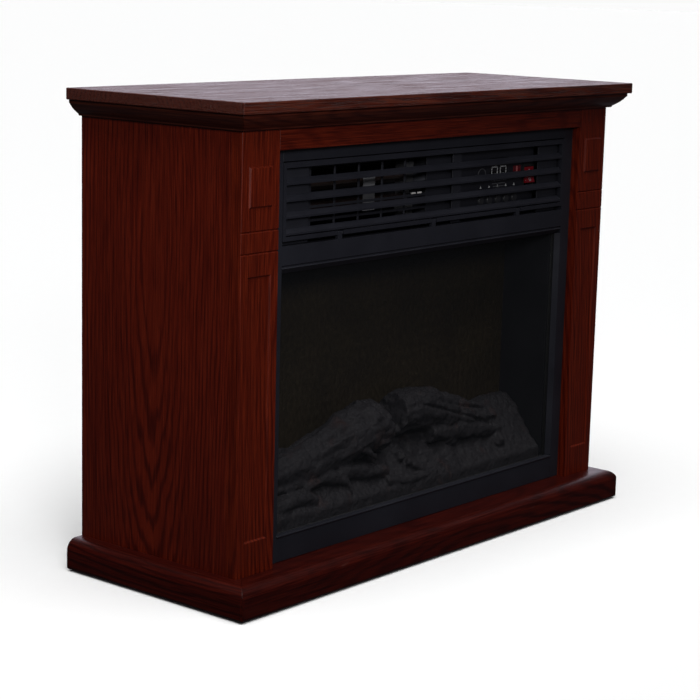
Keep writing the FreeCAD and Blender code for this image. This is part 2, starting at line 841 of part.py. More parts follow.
def blower_housing():
    """Scroll sheet round the wheel between two end plates that carry the shaft."""
    scroll = arc_sheet(wheel_y, wheel_z, scroll_r, scroll_t, -150, 60, duct_x0, duct_x1)
    ends = []
    for x in (duct_x0 - duct_t, duct_x1):
        plate = box(x, x + duct_t, duct_y1, wheel_y + scroll_r + scroll_t, wheel_z - scroll_r - scroll_t,
                    wheel_z + scroll_r + scroll_t)
        ends.append(plate.cut(rod_x(x - 1, x + duct_t + 1, wheel_y, wheel_z, blower_shaft_r + shaft_gap)))
    return fused([scroll] + ends)


def blower_motor():
    core = rod_x(blower_motor_x0, blower_motor_x0 + blower_motor_l, wheel_y, wheel_z, blower_motor_r)
    bore = rod_x(blower_motor_x0 - 1, blower_motor_x0 + blower_motor_l * 0.75, wheel_y, wheel_z,
                 blower_shaft_r + shaft_gap)
    return core.cut(bore)


# ---------------------------------------------------------------- controls
def button_places():
    return [button_x0 + i * button_pitch for i in range(button_count)]


def rocker_hole():
    half_w = rocker_w / 2 + rocker_gap + rocker_wall
    half_h = rocker_h / 2 + rocker_gap + rocker_wall
    return half_w, half_h


def control_fascia():
    plate = box(controls_x0, controls_x1, controls_y, controls_y + controls_t, bay_z0, bay_z1)
    window = box(display_x - display_w / 2 - frame_gap, display_x + display_w / 2 + frame_gap,
                 controls_y - 1, controls_y + controls_t + 1,
                 display_z - display_h / 2 - frame_gap, display_z + display_h / 2 + frame_gap)
    holes = [rod_y(x, controls_y - 1, controls_y + controls_t + 1, button_z, button_r + button_gap)
             for x in button_places()]
    half_w, half_h = rocker_hole()
    rocker_cut = box(rocker_x - half_w, rocker_x + half_w, controls_y - 1, controls_y + controls_t + 1,
                     rocker_z - half_h, rocker_z + half_h)
    return plate.cut([window, rocker_cut] + holes)


def push_button(x):
    back = controls_y + controls_t + button_gap
    cap = rod_y(x, controls_y - button_proud, back, button_z, button_r)
    front_rim = [e for e in cap.Edges if e.BoundBox.YMax < controls_y - button_proud + 0.1]
    cap = cap.makeFillet(1.0, front_rim)
    flange = rod_y(x, back, back + button_flange, button_z, button_r + 1.5)
    stem = rod_y(x, back + button_flange, board_y - button_travel - button_gap, button_z, stem_r)
    return fused([cap, flange, stem])


def display_module():
    return box(display_x - display_w / 2, display_x + display_w / 2, controls_y + frame_gap, board_y,
               display_z - display_h / 2, display_z + display_h / 2)


def control_board():
    """Circuit board on four posts, with a transformer and two relays on its back."""
    x0 = controls_x0 + board_margin
    x1 = controls_x1 - 2 * rocker_w
    z0 = bay_z0 + board_margin
    z1 = bay_z1 - board_margin
    plate = box(x0, x1, board_y, board_y + board_t, z0, z1)
    inset = 2.5 * screw_r
    posts = [rod_y(x, controls_y + controls_t, board_y, z, 2 * screw_r)
             for x in (x0 + inset, x1 - inset) for z in (z0 + inset, z1 - inset)]
    back = board_y + board_t
    transformer = box(x0 + 10, x0 + 52, back, back + 30, z0 + 8, z0 + 43)
    relays = [box(x0 + 70 + i * 24, x0 + 88 + i * 24, back, back + 16, z0 + 40, z0 + 55) for i in (0, 1)]
    return fused([plate, transformer] + posts + relays)


def rocker_housing():
    half_w, half_h = rocker_hole()
    y0 = controls_y - rocker_bezel
    y1 = controls_y + rocker_body_deep
    bezel = box(rocker_x - half_w, rocker_x + half_w, y0, controls_y, rocker_z - half_h - rocker_bezel,
                rocker_z + half_h + rocker_bezel)
    body = box(rocker_x - half_w + frame_gap, rocker_x + half_w - frame_gap, controls_y, y1,
               rocker_z - half_h + frame_gap, rocker_z + half_h - frame_gap)
    well = box(rocker_x - rocker_w / 2 - rocker_gap, rocker_x + rocker_w / 2 + rocker_gap, y0 - 1,
               y1 - rocker_wall, rocker_z - rocker_h / 2 - rocker_gap, rocker_z + rocker_h / 2 + rocker_gap)
    bore = rod_x(rocker_x - half_w - 1, rocker_x + half_w + 1, rocker_pivot_y, rocker_z,
                 rocker_pin_r + shaft_gap)
    return fused([bezel, body]).cut([well, bore])


def power_rocker():
    """Rocker tipped to its off side; the joint tips it to the other."""
    half_w = rocker_w / 2
    half_h = rocker_h / 2 - rocker_wall
    y0 = controls_y - 4.0
    waist = rocker_pivot_y + 4.0
    outline = [(y0, -half_h), (y0 + 2.2, 0), (y0, half_h), (rocker_pivot_y - 2, half_h),
               (waist, half_h / 3), (waist, -half_h / 3), (rocker_pivot_y - 2, -half_h)]
    paddle = section_x([(y, rocker_z + z) for y, z in outline], rocker_x - half_w, rocker_x + half_w)
    pin = rod_x(rocker_x - half_w - rocker_gap - rocker_wall / 2, rocker_x + half_w + rocker_gap + rocker_wall / 2,
                rocker_pivot_y, rocker_z, rocker_pin_r)
    rocker = fused([paddle, pin])
    rocker.rotate(Vector(rocker_x, rocker_pivot_y, rocker_z), Vector(1, 0, 0), -rocker_tilt)
    return rocker


# ---------------------------------------------------------------- firebox and flame effect
def flame_screen():
    return box(-case_hw, case_hw, screen_y, screen_y + screen_t, case_floor_z + sheet, divider_z)


def log(a, b, r):
    return Part.makeCylinder(r, (b - a).Length, a, b - a)


def log_set():
    """Moulded ember bed that slopes up to the back, with its logs."""
    half = case_hw - logs_gap
    y0 = case_front_y + logs_gap
    y1 = screen_y - logs_gap
    foot = case_floor_z + sheet
    outline = [(y0, foot), (y0, bed_front_z), (y0 + bed_rise_depth, bed_back_z), (y1, bed_back_z), (y1, foot)]
    bed = section_x(outline, -half, half)
    back_y_line = y1 - log_r - 1
    logs = [log(Vector(-half + 8, back_y_line - 4, bed_back_z - 14), Vector(12, back_y_line - 16, bed_back_z + 14),
                log_r),
            log(Vector(4, back_y_line, bed_back_z + 28), Vector(half - 12, back_y_line - 2, bed_back_z - 16),
                log_r),
            log(Vector(-110, back_y_line - 8, bed_back_z + 18), Vector(-40, back_y_line - 6, bed_back_z + 22),
                log_r * 0.8),
            log(Vector(-140, y0 + 16, bed_front_z + 6), Vector(60, y0 + 42, bed_back_z - 12), log_r * 0.6),
            log(Vector(70, y0 + 16, bed_front_z + 2), Vector(-10, y0 + 40, bed_back_z - 14), log_r * 0.6)]
    return fused([bed] + logs)


def flame_rotor():
    """Shaft with rows of bent reflector flaps that throw moving light on the screen."""
    x0 = rotor_x0 - bracket_t - 4
    x1 = rotor_x1 + bracket_t + rotor_motor_l * 0.6
    shaft = rod_x(x0, x1, rotor_y, rotor_z, rotor_shaft_r)
    hub = rod_x(rotor_x0 + 3, rotor_x1 - 3, rotor_y, rotor_z, rotor_hub_r)
    count = int((rotor_x1 - rotor_x0 - 20) / rotor_flap_pitch)
    axis = Vector(1, 0, 0)
    flaps = []
    for i in range(count):
        x = rotor_x0 + 10 + i * rotor_flap_pitch
        for row in range(rotor_rows):
            flap = box(x, x + rotor_flap_w, rotor_y - rotor_flap_t / 2, rotor_y + rotor_flap_t / 2,
                       rotor_z + rotor_hub_r - 1, rotor_z + rotor_hub_r + rotor_flap_h)
            flap.rotate(Vector(x, rotor_y, rotor_z), axis, row * 360 / rotor_rows + i * rotor_twist)
            flaps.append(flap)
    return fused([shaft, hub] + flaps)


def rotor_brackets():
    plates = []
    for x in (rotor_x0 - bracket_t, rotor_x1):
        plate = box(x, x + bracket_t, rotor_y - bracket_w / 2, rotor_y + bracket_w / 2, case_floor_z + sheet,
                    rotor_z + bracket_w / 3)
        plates.append(plate.cut(rod_x(x - 1, x + bracket_t + 1, rotor_y, rotor_z, rotor_shaft_r + shaft_gap)))
    return group(plates)


def rotor_motor():
    x0 = rotor_x1 + bracket_t
    can = rod_x(x0, x0 + rotor_motor_l, rotor_y, rotor_z, rotor_motor_r)
    return can.cut(rod_x(x0 - 1, x0 + rotor_motor_l * 0.65, rotor_y, rotor_z, rotor_shaft_r + shaft_gap))


def led_board():
    """Light strip on two feet, its lamps facing the rotor."""
    y = frame_y + led_board_depth
    half = case_hw - end_plate_w
    z0 = rotor_z - led_board_h / 2
    strip = box(-half, half, y, y + board_t, z0, z0 + led_board_h)
    feet = [box(x - 6, x + 6, y, y + board_t, case_floor_z + sheet, z0) for x in (-half + 20, half - 20)]
    count = int(2 * half / led_pitch)
    lamps = [rod_y((i - (count - 1) / 2) * led_pitch, y - led_r, y, rotor_z, led_r) for i in range(count)]
    return fused([strip] + feet + lamps)


# ---------------------------------------------------------------- write every piece
def pieces():
    made = {
        "top_board": top_board(), "cornice_front": cornice_front(), "cornice_right": cornice_right(),
        "side_panel_right": side_panel_right(), "pilaster_right": pilaster_right(), "top_rail": top_rail(),
        "base_front": base_front(), "base_right": base_right(), "base_rear": base_rear(),
        "bottom_panel": bottom_panel(), "corner_blocks": corner_blocks(), "top_cleats": top_cleats(),
        "glides": glides(), "back_panel": back_panel(), "cord_gland": cord_gland(), "screws": screws(),
        "frame_stile_right": stile_right(), "frame_top_bar": frame_top_bar(),
        "frame_mid_band": frame_mid_band(), "frame_bottom_rail": frame_bottom_rail(),
        "glass_pane": glass_pane(), "glass_gasket": glass_gasket(), "louver_door": louver_door(),
        "case_side_right": case_side_right(), "case_top": case_top(), "case_floor": case_floor(),
        "case_divider": case_divider(), "case_back": case_back(),
        "heater_front_plates": heater_front_plates(), "outlet_grid": outlet_grid(),
        "heater_duct": heater_duct(), "reflector": reflector(), "tube_holders": tube_holders(),
        "quartz_tubes": quartz_tubes(), "heating_coils": heating_coils(),
        "blower_wheel": blower_wheel(), "blower_housing": blower_housing(), "blower_motor": blower_motor(),
        "control_fascia": control_fascia(), "control_board": control_board(),
        "display_module": display_module(), "rocker_housing": rocker_housing(),
        "power_rocker": power_rocker(), "flame_screen": flame_screen(), "log_set": log_set(),
        "flame_rotor": flame_rotor(), "rotor_brackets": rotor_brackets(), "rotor_motor": rotor_motor(),
        "led_board": led_board()}
    for name in [n for n in made if n.endswith("_right")]:
        made[name.replace("_right", "_left")] = mirrored(made[name])
    for i, x in enumerate(button_places()):
        made["button_%d" % (i + 1)] = push_button(x)
    return made


os.makedirs("parts", exist_ok=True)
for name, shape in pieces().items():
    if not shape.isValid():
        raise ValueError("%s is not a valid shape" % name)
    shape.exportStep("parts/%s.step" % name)
    bb = shape.BoundBox
    print("%-20s solids %2d  x %7.1f %7.1f  y %7.1f %7.1f  z %6.1f %6.1f"
          % (name, len(shape.Solids), bb.XMin, bb.XMax, bb.YMin, bb.YMax, bb.ZMin, bb.ZMax))
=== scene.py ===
"""Looks of an electric fireplace in a cherry-stained mantel.

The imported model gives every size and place. Each operator finishes one group of pieces in metres, with
+X across the front, +Y to the back and +Z up, and leaves each piece riding on its own body.
"""
import json
import math

import bmesh
import bpy
from bpy.props import FloatProperty, FloatVectorProperty, IntProperty, PointerProperty
from mathutils import Matrix, Vector, noise
from mathutils.geometry import intersect_point_line

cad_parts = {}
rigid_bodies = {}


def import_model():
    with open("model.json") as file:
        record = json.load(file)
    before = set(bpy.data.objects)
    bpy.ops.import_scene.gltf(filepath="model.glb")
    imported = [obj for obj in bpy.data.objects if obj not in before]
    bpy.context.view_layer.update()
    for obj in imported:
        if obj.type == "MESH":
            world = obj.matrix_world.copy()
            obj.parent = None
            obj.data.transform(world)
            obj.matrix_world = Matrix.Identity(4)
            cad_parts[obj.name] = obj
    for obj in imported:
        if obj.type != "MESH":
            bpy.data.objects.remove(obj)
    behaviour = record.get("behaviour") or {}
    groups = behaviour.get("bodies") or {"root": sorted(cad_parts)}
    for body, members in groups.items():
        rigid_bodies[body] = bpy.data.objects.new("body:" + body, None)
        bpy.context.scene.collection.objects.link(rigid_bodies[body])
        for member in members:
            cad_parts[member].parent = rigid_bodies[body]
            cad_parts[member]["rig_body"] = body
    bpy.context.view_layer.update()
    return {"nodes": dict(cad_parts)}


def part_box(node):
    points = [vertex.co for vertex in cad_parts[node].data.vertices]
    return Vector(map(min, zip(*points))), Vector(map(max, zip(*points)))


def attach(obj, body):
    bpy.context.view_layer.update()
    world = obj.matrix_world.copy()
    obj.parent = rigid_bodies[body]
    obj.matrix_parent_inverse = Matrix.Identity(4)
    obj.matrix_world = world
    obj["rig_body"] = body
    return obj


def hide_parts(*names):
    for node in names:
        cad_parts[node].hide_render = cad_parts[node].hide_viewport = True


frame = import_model()

bl_info = {
    "name": "Electric fireplace",
    "version": (1, 0, 0),
    "blender": (4, 5, 0),
    "location": "View3D > Sidebar > Fireplace",
    "description": "Finishes the pieces of an electric fireplace and sets its stage",
    "category": "Object",
}

MM = 0.001
DIGIT_HEIGHT = 0.0117
DIGIT_STROKE = 0.0017


# ---- settings
class MantelSettings(bpy.types.PropertyGroup):
    veneer: FloatVectorProperty(
        name="Veneer", description="Middle colour of the stained veneer",
        subtype="COLOR", size=4, min=0, max=1, default=(0.074, 0.0058, 0.0017, 1))
    veneer_dark: FloatVectorProperty(
        name="Dark grain", description="Colour of the veneer's late wood and pores",
        subtype="COLOR", size=4, min=0, max=1, default=(0.048, 0.0034, 0.0011, 1))
    veneer_light: FloatVectorProperty(
        name="Light grain", description="Colour of the veneer's early wood",
        subtype="COLOR", size=4, min=0, max=1, default=(0.100, 0.0100, 0.0028, 1))
    edge_ease: FloatProperty(
        name="Edge easing", description="Radius sanded on each board edge",
        subtype="DISTANCE", unit="LENGTH", min=0.0002, max=0.003, default=0.0009)


class InsertSettings(bpy.types.PropertyGroup):
    paint: FloatVectorProperty(
        name="Paint", description="Colour of the satin black paint",
        subtype="COLOR", size=4, min=0, max=1, default=(0.0105, 0.0108, 0.0150, 1))
    blade_round: FloatProperty(
        name="Blade rounding", description="Radius on the long edges of the door's blades",
        subtype="DISTANCE", unit="LENGTH", min=0.0003, max=0.0014, default=0.0009)
    digit: FloatVectorProperty(
        name="Digits", description="Colour of the lit digits",
        subtype="COLOR", size=4, min=0, max=1, default=(0.30, 0.30, 0.31, 1))
    rocker: FloatVectorProperty(
        name="Rocker", description="Colour of the power rocker",
        subtype="COLOR", size=4, min=0, max=1, default=(0.17, 0.004, 0.009, 1))


class FireSettings(bpy.types.PropertyGroup):
    char: FloatVectorProperty(
        name="Char", description="Colour of the charred log surface",
        subtype="COLOR", size=4, min=0, max=1, default=(0.0098, 0.0086, 0.0108, 1))
    ember: FloatVectorProperty(
        name="Ember tint", description="Colour of the red-brown patches on the logs",
        subtype="COLOR", size=4, min=0, max=1, default=(0.022, 0.0085, 0.0075, 1))
    bark_depth: FloatProperty(
        name="Bark depth", description="Height of the ridges on the logs",
        subtype="DISTANCE", unit="LENGTH", min=0, max=0.006, default=0.0026)
    seed: IntProperty(
        name="Seed", description="Shifts the noise that pits the logs and the ember bed", min=0, default=7)


class StageSettings(bpy.types.PropertyGroup):
    floor: FloatVectorProperty(
        name="Floor", description="Colour of the floor",
        subtype="COLOR", size=4, min=0, max=1, default=(0.93, 0.93, 0.93, 1))
    focal: FloatProperty(
        name="Focal length", description="Focal length of the camera", subtype="DISTANCE_CAMERA",
        unit="CAMERA", min=20, max=300, default=101.43)


# ---- mesh helpers
def only(*pieces):
    """Selects these objects alone and makes the first one active."""
    if bpy.context.object and bpy.context.object.mode != "OBJECT":
        bpy.ops.object.mode_set(mode="OBJECT")
    bpy.ops.object.select_all(action="DESELECT")
    for piece in pieces:
        piece.select_set(True)
    bpy.context.view_layer.objects.active = pieces[0]


def node_copy(node, name):
    """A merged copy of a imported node, with its flat faces made whole again."""
    piece = bpy.data.objects.new(name, frame["nodes"][node].data.copy())
    bpy.context.scene.collection.objects.link(piece)
    piece.data.materials.clear()
    only(piece)
    bpy.ops.object.mode_set(mode="EDIT")
    bpy.ops.mesh.select_all(action="SELECT")
    bpy.ops.mesh.remove_doubles(threshold=1e-6)
    bpy.ops.mesh.dissolve_limited(angle_limit=math.radians(0.6))
    bpy.ops.mesh.select_all(action="DESELECT")
    bpy.ops.object.mode_set(mode="OBJECT")
    return piece


def apply_modifier(piece, kind, **settings):
    """Adds one modifier with these settings and applies it."""
    only(piece)
    modifier = piece.modifiers.new(kind.title(), kind)
    for key, value in settings.items():
        setattr(modifier, key, value)
    bpy.ops.object.modifier_apply(modifier=modifier.name)


def ease_edges(piece, radius, segments=2, angle=32.0):
    """Rounds the edges sharper than the angle, and keeps the flats shaded flat."""
    apply_modifier(piece, "BEVEL", width=radius, segments=segments, limit_method="ANGLE",
                   angle_limit=math.radians(angle), use_clamp_overlap=True)
    smooth(piece, 50.0)
    apply_modifier(piece, "WEIGHTED_NORMAL", keep_sharp=True)


def smooth(piece, angle):
    only(piece)
    bpy.ops.object.shade_smooth_by_angle(angle=math.radians(angle), keep_sharp_edges=True)


def apply_place(piece):
    only(piece)
    bpy.ops.object.transform_apply(location=True, rotation=True, scale=True)


def joined(pieces, name):
    only(*pieces)
    if len(pieces) > 1:
        bpy.ops.object.join()
    pieces[0].name = name
    pieces[0].data.name = name
    return pieces[0]


def finish_piece(piece, material, body, node=None):
    """Gives a piece its material in one slot and its body, and hides the node it replaces."""
    piece.data.materials.clear()
    piece.data.materials.append(material)
    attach(piece, body)
    if node:
        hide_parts(node)
    return piece


def select_where(piece, kind, test):
    """Selects only those vertices, edges or faces of the piece in edit mode that pass the test."""
    bpy.ops.mesh.select_mode(type=kind)
    bpy.ops.mesh.select_all(action="DESELECT")
    cage = bmesh.from_edit_mesh(piece.data)
    for element in {"VERT": cage.verts, "EDGE": cage.edges, "FACE": cage.faces}[kind]:
        element.select_set(test(element))
    bmesh.update_edit_mesh(piece.data)


def block(name, low, high):
    """A plain box between two corners."""
    low, high = Vector(low), Vector(high)
    bpy.ops.object.select_all(action="DESELECT")
    bpy.ops.mesh.primitive_cube_add(size=1, location=(low + high) / 2)
    made = bpy.context.object
    made.name = name
    made.scale = high - low
    apply_place(made)
    return made


def eased_node(node, material, radius, body="cabinet", segments=2):
    """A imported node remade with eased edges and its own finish."""
    piece = node_copy(node, "fine_" + node)
    ease_edges(piece, radius, segments)
    return finish_piece(piece, material, body, node)


def paint_node(node, material):
    """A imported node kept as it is, with its own finish."""
    data = frame["nodes"][node].data
    data.materials.clear()
    data.materials.append(material)


def body_of(node):
    return frame["nodes"][node]["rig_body"]


# ---- material helpers
class Finish:
    """One material with a Principled shader and short calls for the nodes that feed it."""

    def __init__(self, name, color, roughness, metallic=0.0, specular=0.5):
        self.material = bpy.data.materials.new(name)
        self.material.use_nodes = True
        self.nodes = self.material.node_tree.nodes
        self.links = self.material.node_tree.links
        self.shader = self.nodes["Principled BSDF"]
        self.set("Base Color", color)
        self.set("Roughness", roughness)
        self.set("Metallic", metallic)
        self.set("Specular IOR Level", specular)
        self.place = self.nodes.new("ShaderNodeTexCoord").outputs["Object"]

    def set(self, socket, value):
        self.shader.inputs[socket].default_value = value

    def link(self, output, socket):
        self.links.new(output, self.shader.inputs[socket])

    def feed(self, socket, value):
        """Links an output to the socket, or sets the socket to a plain value."""
        if isinstance(value, bpy.types.NodeSocket):
            self.links.new(value, socket)
        else:
            socket.default_value = value

    def node(self, kind, **inputs):
        made = self.nodes.new("ShaderNode" + kind)
        for key, value in inputs.items():
            self.feed(made.inputs[key.replace("_", " ")], value)
        return made

    def stretched(self, scale, rotation=(0, 0, 0), location=(0, 0, 0), vector=None):
        return self.node("Mapping", Vector=vector or self.place, Scale=scale, Rotation=rotation,
                         Location=location).outputs["Vector"]

    def noise(self, scale, detail=3.0, roughness=0.5, vector=None, distortion=0.0):
        return self.node("TexNoise", Vector=vector or self.place, Scale=scale, Detail=detail,
                         Roughness=roughness, Distortion=distortion).outputs["Fac"]

    def cells(self, scale, vector=None, feature="F1", randomness=1.0):
        made = self.node("TexVoronoi", Vector=vector or self.place, Scale=scale, Randomness=randomness)
        made.feature = feature
        return made.outputs["Distance"]

    def ramp(self, value, stops):
        made = self.node("ValToRGB", Fac=value)
        elements = made.color_ramp.elements
        while len(elements) < len(stops):
            elements.new(0.5)
        for element, (position, color) in zip(elements, stops):
            element.position = position
            element.color = color if len(color) == 4 else (*color, 1)
        return made.outputs["Color"]

    def levels(self, value, low, high, to_low=0.0, to_high=1.0):
        return self.node("MapRange", Value=value, From_Min=low, From_Max=high, To_Min=to_low,
                         To_Max=to_high).outputs["Result"]

    def mix(self, factor, a, b, blend="MIX"):
        made = self.nodes.new("ShaderNodeMix")
        made.data_type = "RGBA"
        made.blend_type = blend
        for index, value in ((0, factor), (6, a), (7, b)):
            self.feed(made.inputs[index], value)
        return made.outputs[2]

    def math(self, operation, a, b):
        made = self.nodes.new("ShaderNodeMath")
        made.operation = operation
        for socket, value in zip(made.inputs, (a, b)):
            self.feed(socket, value)
        return made.outputs["Value"]

    def bump(self, height, depth, strength=1.0):
        made = self.node("Bump", Height=height, Distance=depth, Strength=strength)
        self.link(made.outputs["Normal"], "Normal")

    def glow(self, color, strength):
        self.set("Emission Color", color)
        self.set("Emission Strength", strength)


FINISHES = {}


def finish(name, make, *args):
    """The material of that name, made on first use."""
    if name not in FINISHES:
        FINISHES[name] = make(name, *args)
    return FINISHES[name]


# ---- finishes
ARCH_STRETCH = 0.15


def toned(color, factor):
    """A colour made darker or lighter, with its alpha at one."""
    return [c * factor for c in color[:3]] + [1]


def grain_scale(axis, stretch):
    """Texture scale that draws a pattern out along one axis."""
    return [stretch if i == axis else 1.0 for i in range(3)]


def cherry(name, along, heart, stain=(1.0, 1.0, 1.0), relief=0.00006, gloss=(0.28, 0.46)):
    """Lacquered cherry-stained veneer, its grain along one axis and its arches round the heart point."""
    settings = bpy.context.scene.fireplace_mantel
    dark, mid, light = ([c * k for c, k in zip(tone, stain)] + [1] for tone in
                        (settings.veneer_dark, settings.veneer, settings.veneer_light))
    wood = Finish(name, mid, 0.36, specular=0.22)
    axis = "xyz".index(along)
    drawn = grain_scale(axis, ARCH_STRETCH)
    board = wood.stretched(drawn, location=[-c * k for c, k in zip(heart, drawn)])
    fibre = wood.stretched(grain_scale(axis, 0.014))
    rings = wood.node("TexWave", Vector=board, Scale=58.0, Distortion=16.0, Detail=4.0, Detail_Scale=0.22,
                      Detail_Roughness=0.62)
    rings.wave_type = "RINGS"
    rings.rings_direction = "SPHERICAL"
    streaks = wood.noise(760.0, 3.0, 0.6, fibre)
    pores = wood.noise(820.0, 3.0, 0.6, wood.stretched(grain_scale(axis, 0.035)))
    cloud = wood.noise(9.0, 4.0, 0.6, board)
    late = wood.levels(rings.outputs["Fac"], 0.0, 0.55, 0.26, 0.56)
    faint = wood.mix(wood.levels(cloud, 0.40, 0.60, 0.20, 0.95), streaks, late)
    colour = wood.ramp(wood.mix(0.42, faint, streaks),
                       [(0.36, toned(dark, 0.66)), (0.50, mid), (0.63, toned(light, 1.12))])
    broad = wood.levels(cloud, 0.35, 0.65, 0.88, 1.12)
    shade = wood.node("CombineColor", Red=broad, Green=broad, Blue=broad).outputs["Color"]
    colour = wood.mix(1.0, colour, shade, "MULTIPLY")
    pore_mask = wood.levels(pores, 0.52, 0.66)
    colour = wood.mix(wood.math("MULTIPLY", pore_mask, 0.7), colour, toned(dark, 0.55))
    wood.link(colour, "Base Color")
    wood.link(wood.levels(streaks, 0.3, 0.7, *gloss), "Roughness")
    wood.bump(wood.math("SUBTRACT", wood.math("MULTIPLY", streaks, 0.5), pore_mask), relief, 0.7)
    return wood


def veneer(*settings):
    """The cherry finish as a material."""
    return cherry(*settings).material


def scuffed_veneer(name, along, heart):
    """Veneer with small pale nicks where feet and brooms knock the base."""
    wood = cherry(name, along, heart, (0.39, 0.29, 0.29))
    clean = wood.shader.inputs["Base Color"].links[0].from_socket
    spots = wood.noise(46.0, 6.0, 0.7, wood.stretched(grain_scale("xyz".index(along), 0.3)))
    worn = wood.levels(spots, 0.64, 0.76, 0.0, 0.4)
    wood.link(wood.mix(worn, clean, (0.075, 0.036, 0.030, 1)), "Base Color")
    return wood.material


def plain_board(name):
    """Bare particle board: chips of pale wood in glue."""
    board = Finish(name, (0.36, 0.25, 0.15, 1), 0.8, specular=0.3)
    chips = board.cells(240.0, board.stretched((1, 1, 2.2)))
    speck = board.noise(90.0, 5.0, 0.6)
    colour = board.ramp(board.mix(0.5, chips, speck),
                        [(0.2, (0.20, 0.13, 0.075)), (0.5, (0.36, 0.25, 0.15)), (0.8, (0.48, 0.36, 0.24))])
    board.link(colour, "Base Color")
    board.bump(speck, 0.0003)
    return board.material


def hardboard(name):
    """Black-painted hardboard with its fine woven back."""
    board = Finish(name, (0.012, 0.012, 0.013, 1), 0.72, specular=0.3)
    mesh = board.cells(900.0, randomness=0.25)
    cloud = board.noise(9.0, 4.0, 0.6)
    board.link(board.ramp(cloud, [(0.3, (0.010, 0.010, 0.011)), (0.7, (0.019, 0.018, 0.018))]), "Base Color")
    board.link(board.levels(cloud, 0.3, 0.7, 0.62, 0.80), "Roughness")
    board.bump(mesh, 0.00012)
    return board.material


def satin_black(name, roughness=0.38, grain=1600.0, depth=0.00003, tint=1.0):
    """Black paint or moulding with a fine orange-peel surface and a little dust."""
    settings = bpy.context.scene.fireplace_insert
    base = [c * tint for c in settings.paint[:3]]
    paint = Finish(name, (*base, 1), roughness, specular=0.32)
    cloud = paint.noise(14.0, 5.0, 0.6)
    peel = paint.noise(grain, 2.0, 0.5)
    paint.link(paint.ramp(cloud, [(0.3, toned(base, 0.86)), (0.72, toned(base, 1.2))]), "Base Color")
    paint.link(paint.levels(cloud, 0.3, 0.7, roughness - 0.05, roughness + 0.07), "Roughness")
    paint.bump(peel, depth)
    return paint.material


def bare_metal(name, color, roughness, brush=(1, 1, 1)):
    """Bare or plated metal with a light rolled or drawn grain."""
    metal = Finish(name, (*color, 1), roughness, metallic=1.0)
    drawn = metal.noise(500.0, 4.0, 0.6, metal.stretched(brush))
    cloud = metal.noise(30.0, 3.0, 0.5)
    metal.link(metal.ramp(cloud, [(0.3, toned(color, 0.75)), (0.7, color)]), "Base Color")
    metal.link(metal.levels(drawn, 0.3, 0.7, roughness - 0.08, roughness + 0.12), "Roughness")
    metal.bump(drawn, 0.00002)
    return metal.material


def moulded(name, color, roughness, specular=0.5):
    """Moulded plastic or rubber with faint flow marks."""
    plastic = Finish(name, (*color, 1), roughness, specular=specular)
    cloud = plastic.noise(60.0, 4.0, 0.6)
    fine = plastic.noise(1800.0, 2.0, 0.5)
    plastic.link(plastic.ramp(cloud, [(0.3, toned(color, 0.88)),
                                      (0.7, tuple(min(1, c * 1.1) for c in color))]), "Base Color")
    plastic.link(plastic.levels(cloud, 0.3, 0.7, roughness - 0.04, roughness + 0.05), "Roughness")
    plastic.bump(fine, 0.00001)
    return plastic.material


def clear_glass(name):
    """Thin front glass: one clear coat of reflection over what is behind it."""
    glass = Finish(name, (0.02, 0.022, 0.025, 1), 0.06, specular=0.5)
    glass.set("Alpha", 0.10)
    return glass.material


def clear_quartz(name):
    quartz = Finish(name, (0.09, 0.055, 0.05, 1), 0.14, specular=0.4)
    quartz.set("Alpha", 0.12)
    return quartz.material


def woven_cord(name):
    cord = Finish(name, (0.012, 0.012, 0.012, 1), 0.85, specular=0.2)
    strands = cord.cells(700.0, cord.stretched((1, 1, 2)))
    cord.link(cord.ramp(strands, [(0.1, (0.006, 0.006, 0.006)), (0.6, (0.020, 0.020, 0.021))]), "Base Color")
    cord.bump(strands, 0.0004)
    return cord.material


def smoked_screen(name):
    """Smoked diffusing sheet: olive-brown with a fine random prismatic texture."""
    screen = Finish(name, (0.012, 0.008, 0.005, 1), 0.42, specular=0.30)
    ripple = screen.noise(170.0, 5.0, 0.6, screen.stretched((1.0, 1, 0.7)))
    cloud = screen.noise(11.0, 3.0, 0.5)
    colour = screen.ramp(screen.mix(0.45, ripple, cloud),
                         [(0.34, (0.0085, 0.0060, 0.0030)), (0.52, (0.0155, 0.0108, 0.0052)),
                          (0.70, (0.0260, 0.0185, 0.0090))])
    screen.link(colour, "Base Color")
    screen.link(screen.levels(ripple, 0.35, 0.65, 0.34, 0.60), "Roughness")
    screen.bump(ripple, 0.0008)
    return screen.material


def charred_resin(name):
    """Painted cast resin: grey-black char, ashy ridges and red-brown patches."""
    settings = bpy.context.scene.fireplace_fire
    log = Finish(name, tuple(settings.char), 0.78, specular=0.25)
    broad = log.noise(22.0, 5.0, 0.62)
    fine = log.noise(240.0, 5.0, 0.7)
    cracks = log.cells(120.0, feature="DISTANCE_TO_EDGE")
    patches = log.levels(broad, 0.58, 0.70, 0.0, 0.7)
    colour = log.mix(patches, tuple(settings.char), tuple(settings.ember))
    ash = log.levels(fine, 0.55, 0.75, 0.0, 0.5)
    colour = log.mix(ash, colour, (0.034, 0.031, 0.035, 1))
    dark = log.levels(cracks, 0.0, 0.05, 0.55, 0.0)
    colour = log.mix(dark, colour, (0.0022, 0.0019, 0.0022, 1))
    log.link(colour, "Base Color")
    log.link(log.levels(fine, 0.3, 0.7, 0.62, 0.9), "Roughness")
    log.bump(log.mix(0.35, fine, cracks), 0.0011)
    return log.material


def circuit_board(name):
    board = Finish(name, (0.01, 0.07, 0.03, 1), 0.35)
    tracks = board.cells(220.0, feature="DISTANCE_TO_EDGE", randomness=0.6)
    board.link(board.ramp(tracks, [(0.03, (0.02, 0.13, 0.06)), (0.09, (0.008, 0.06, 0.025))]), "Base Color")
    board.bump(tracks, 0.00005)
    return board.material


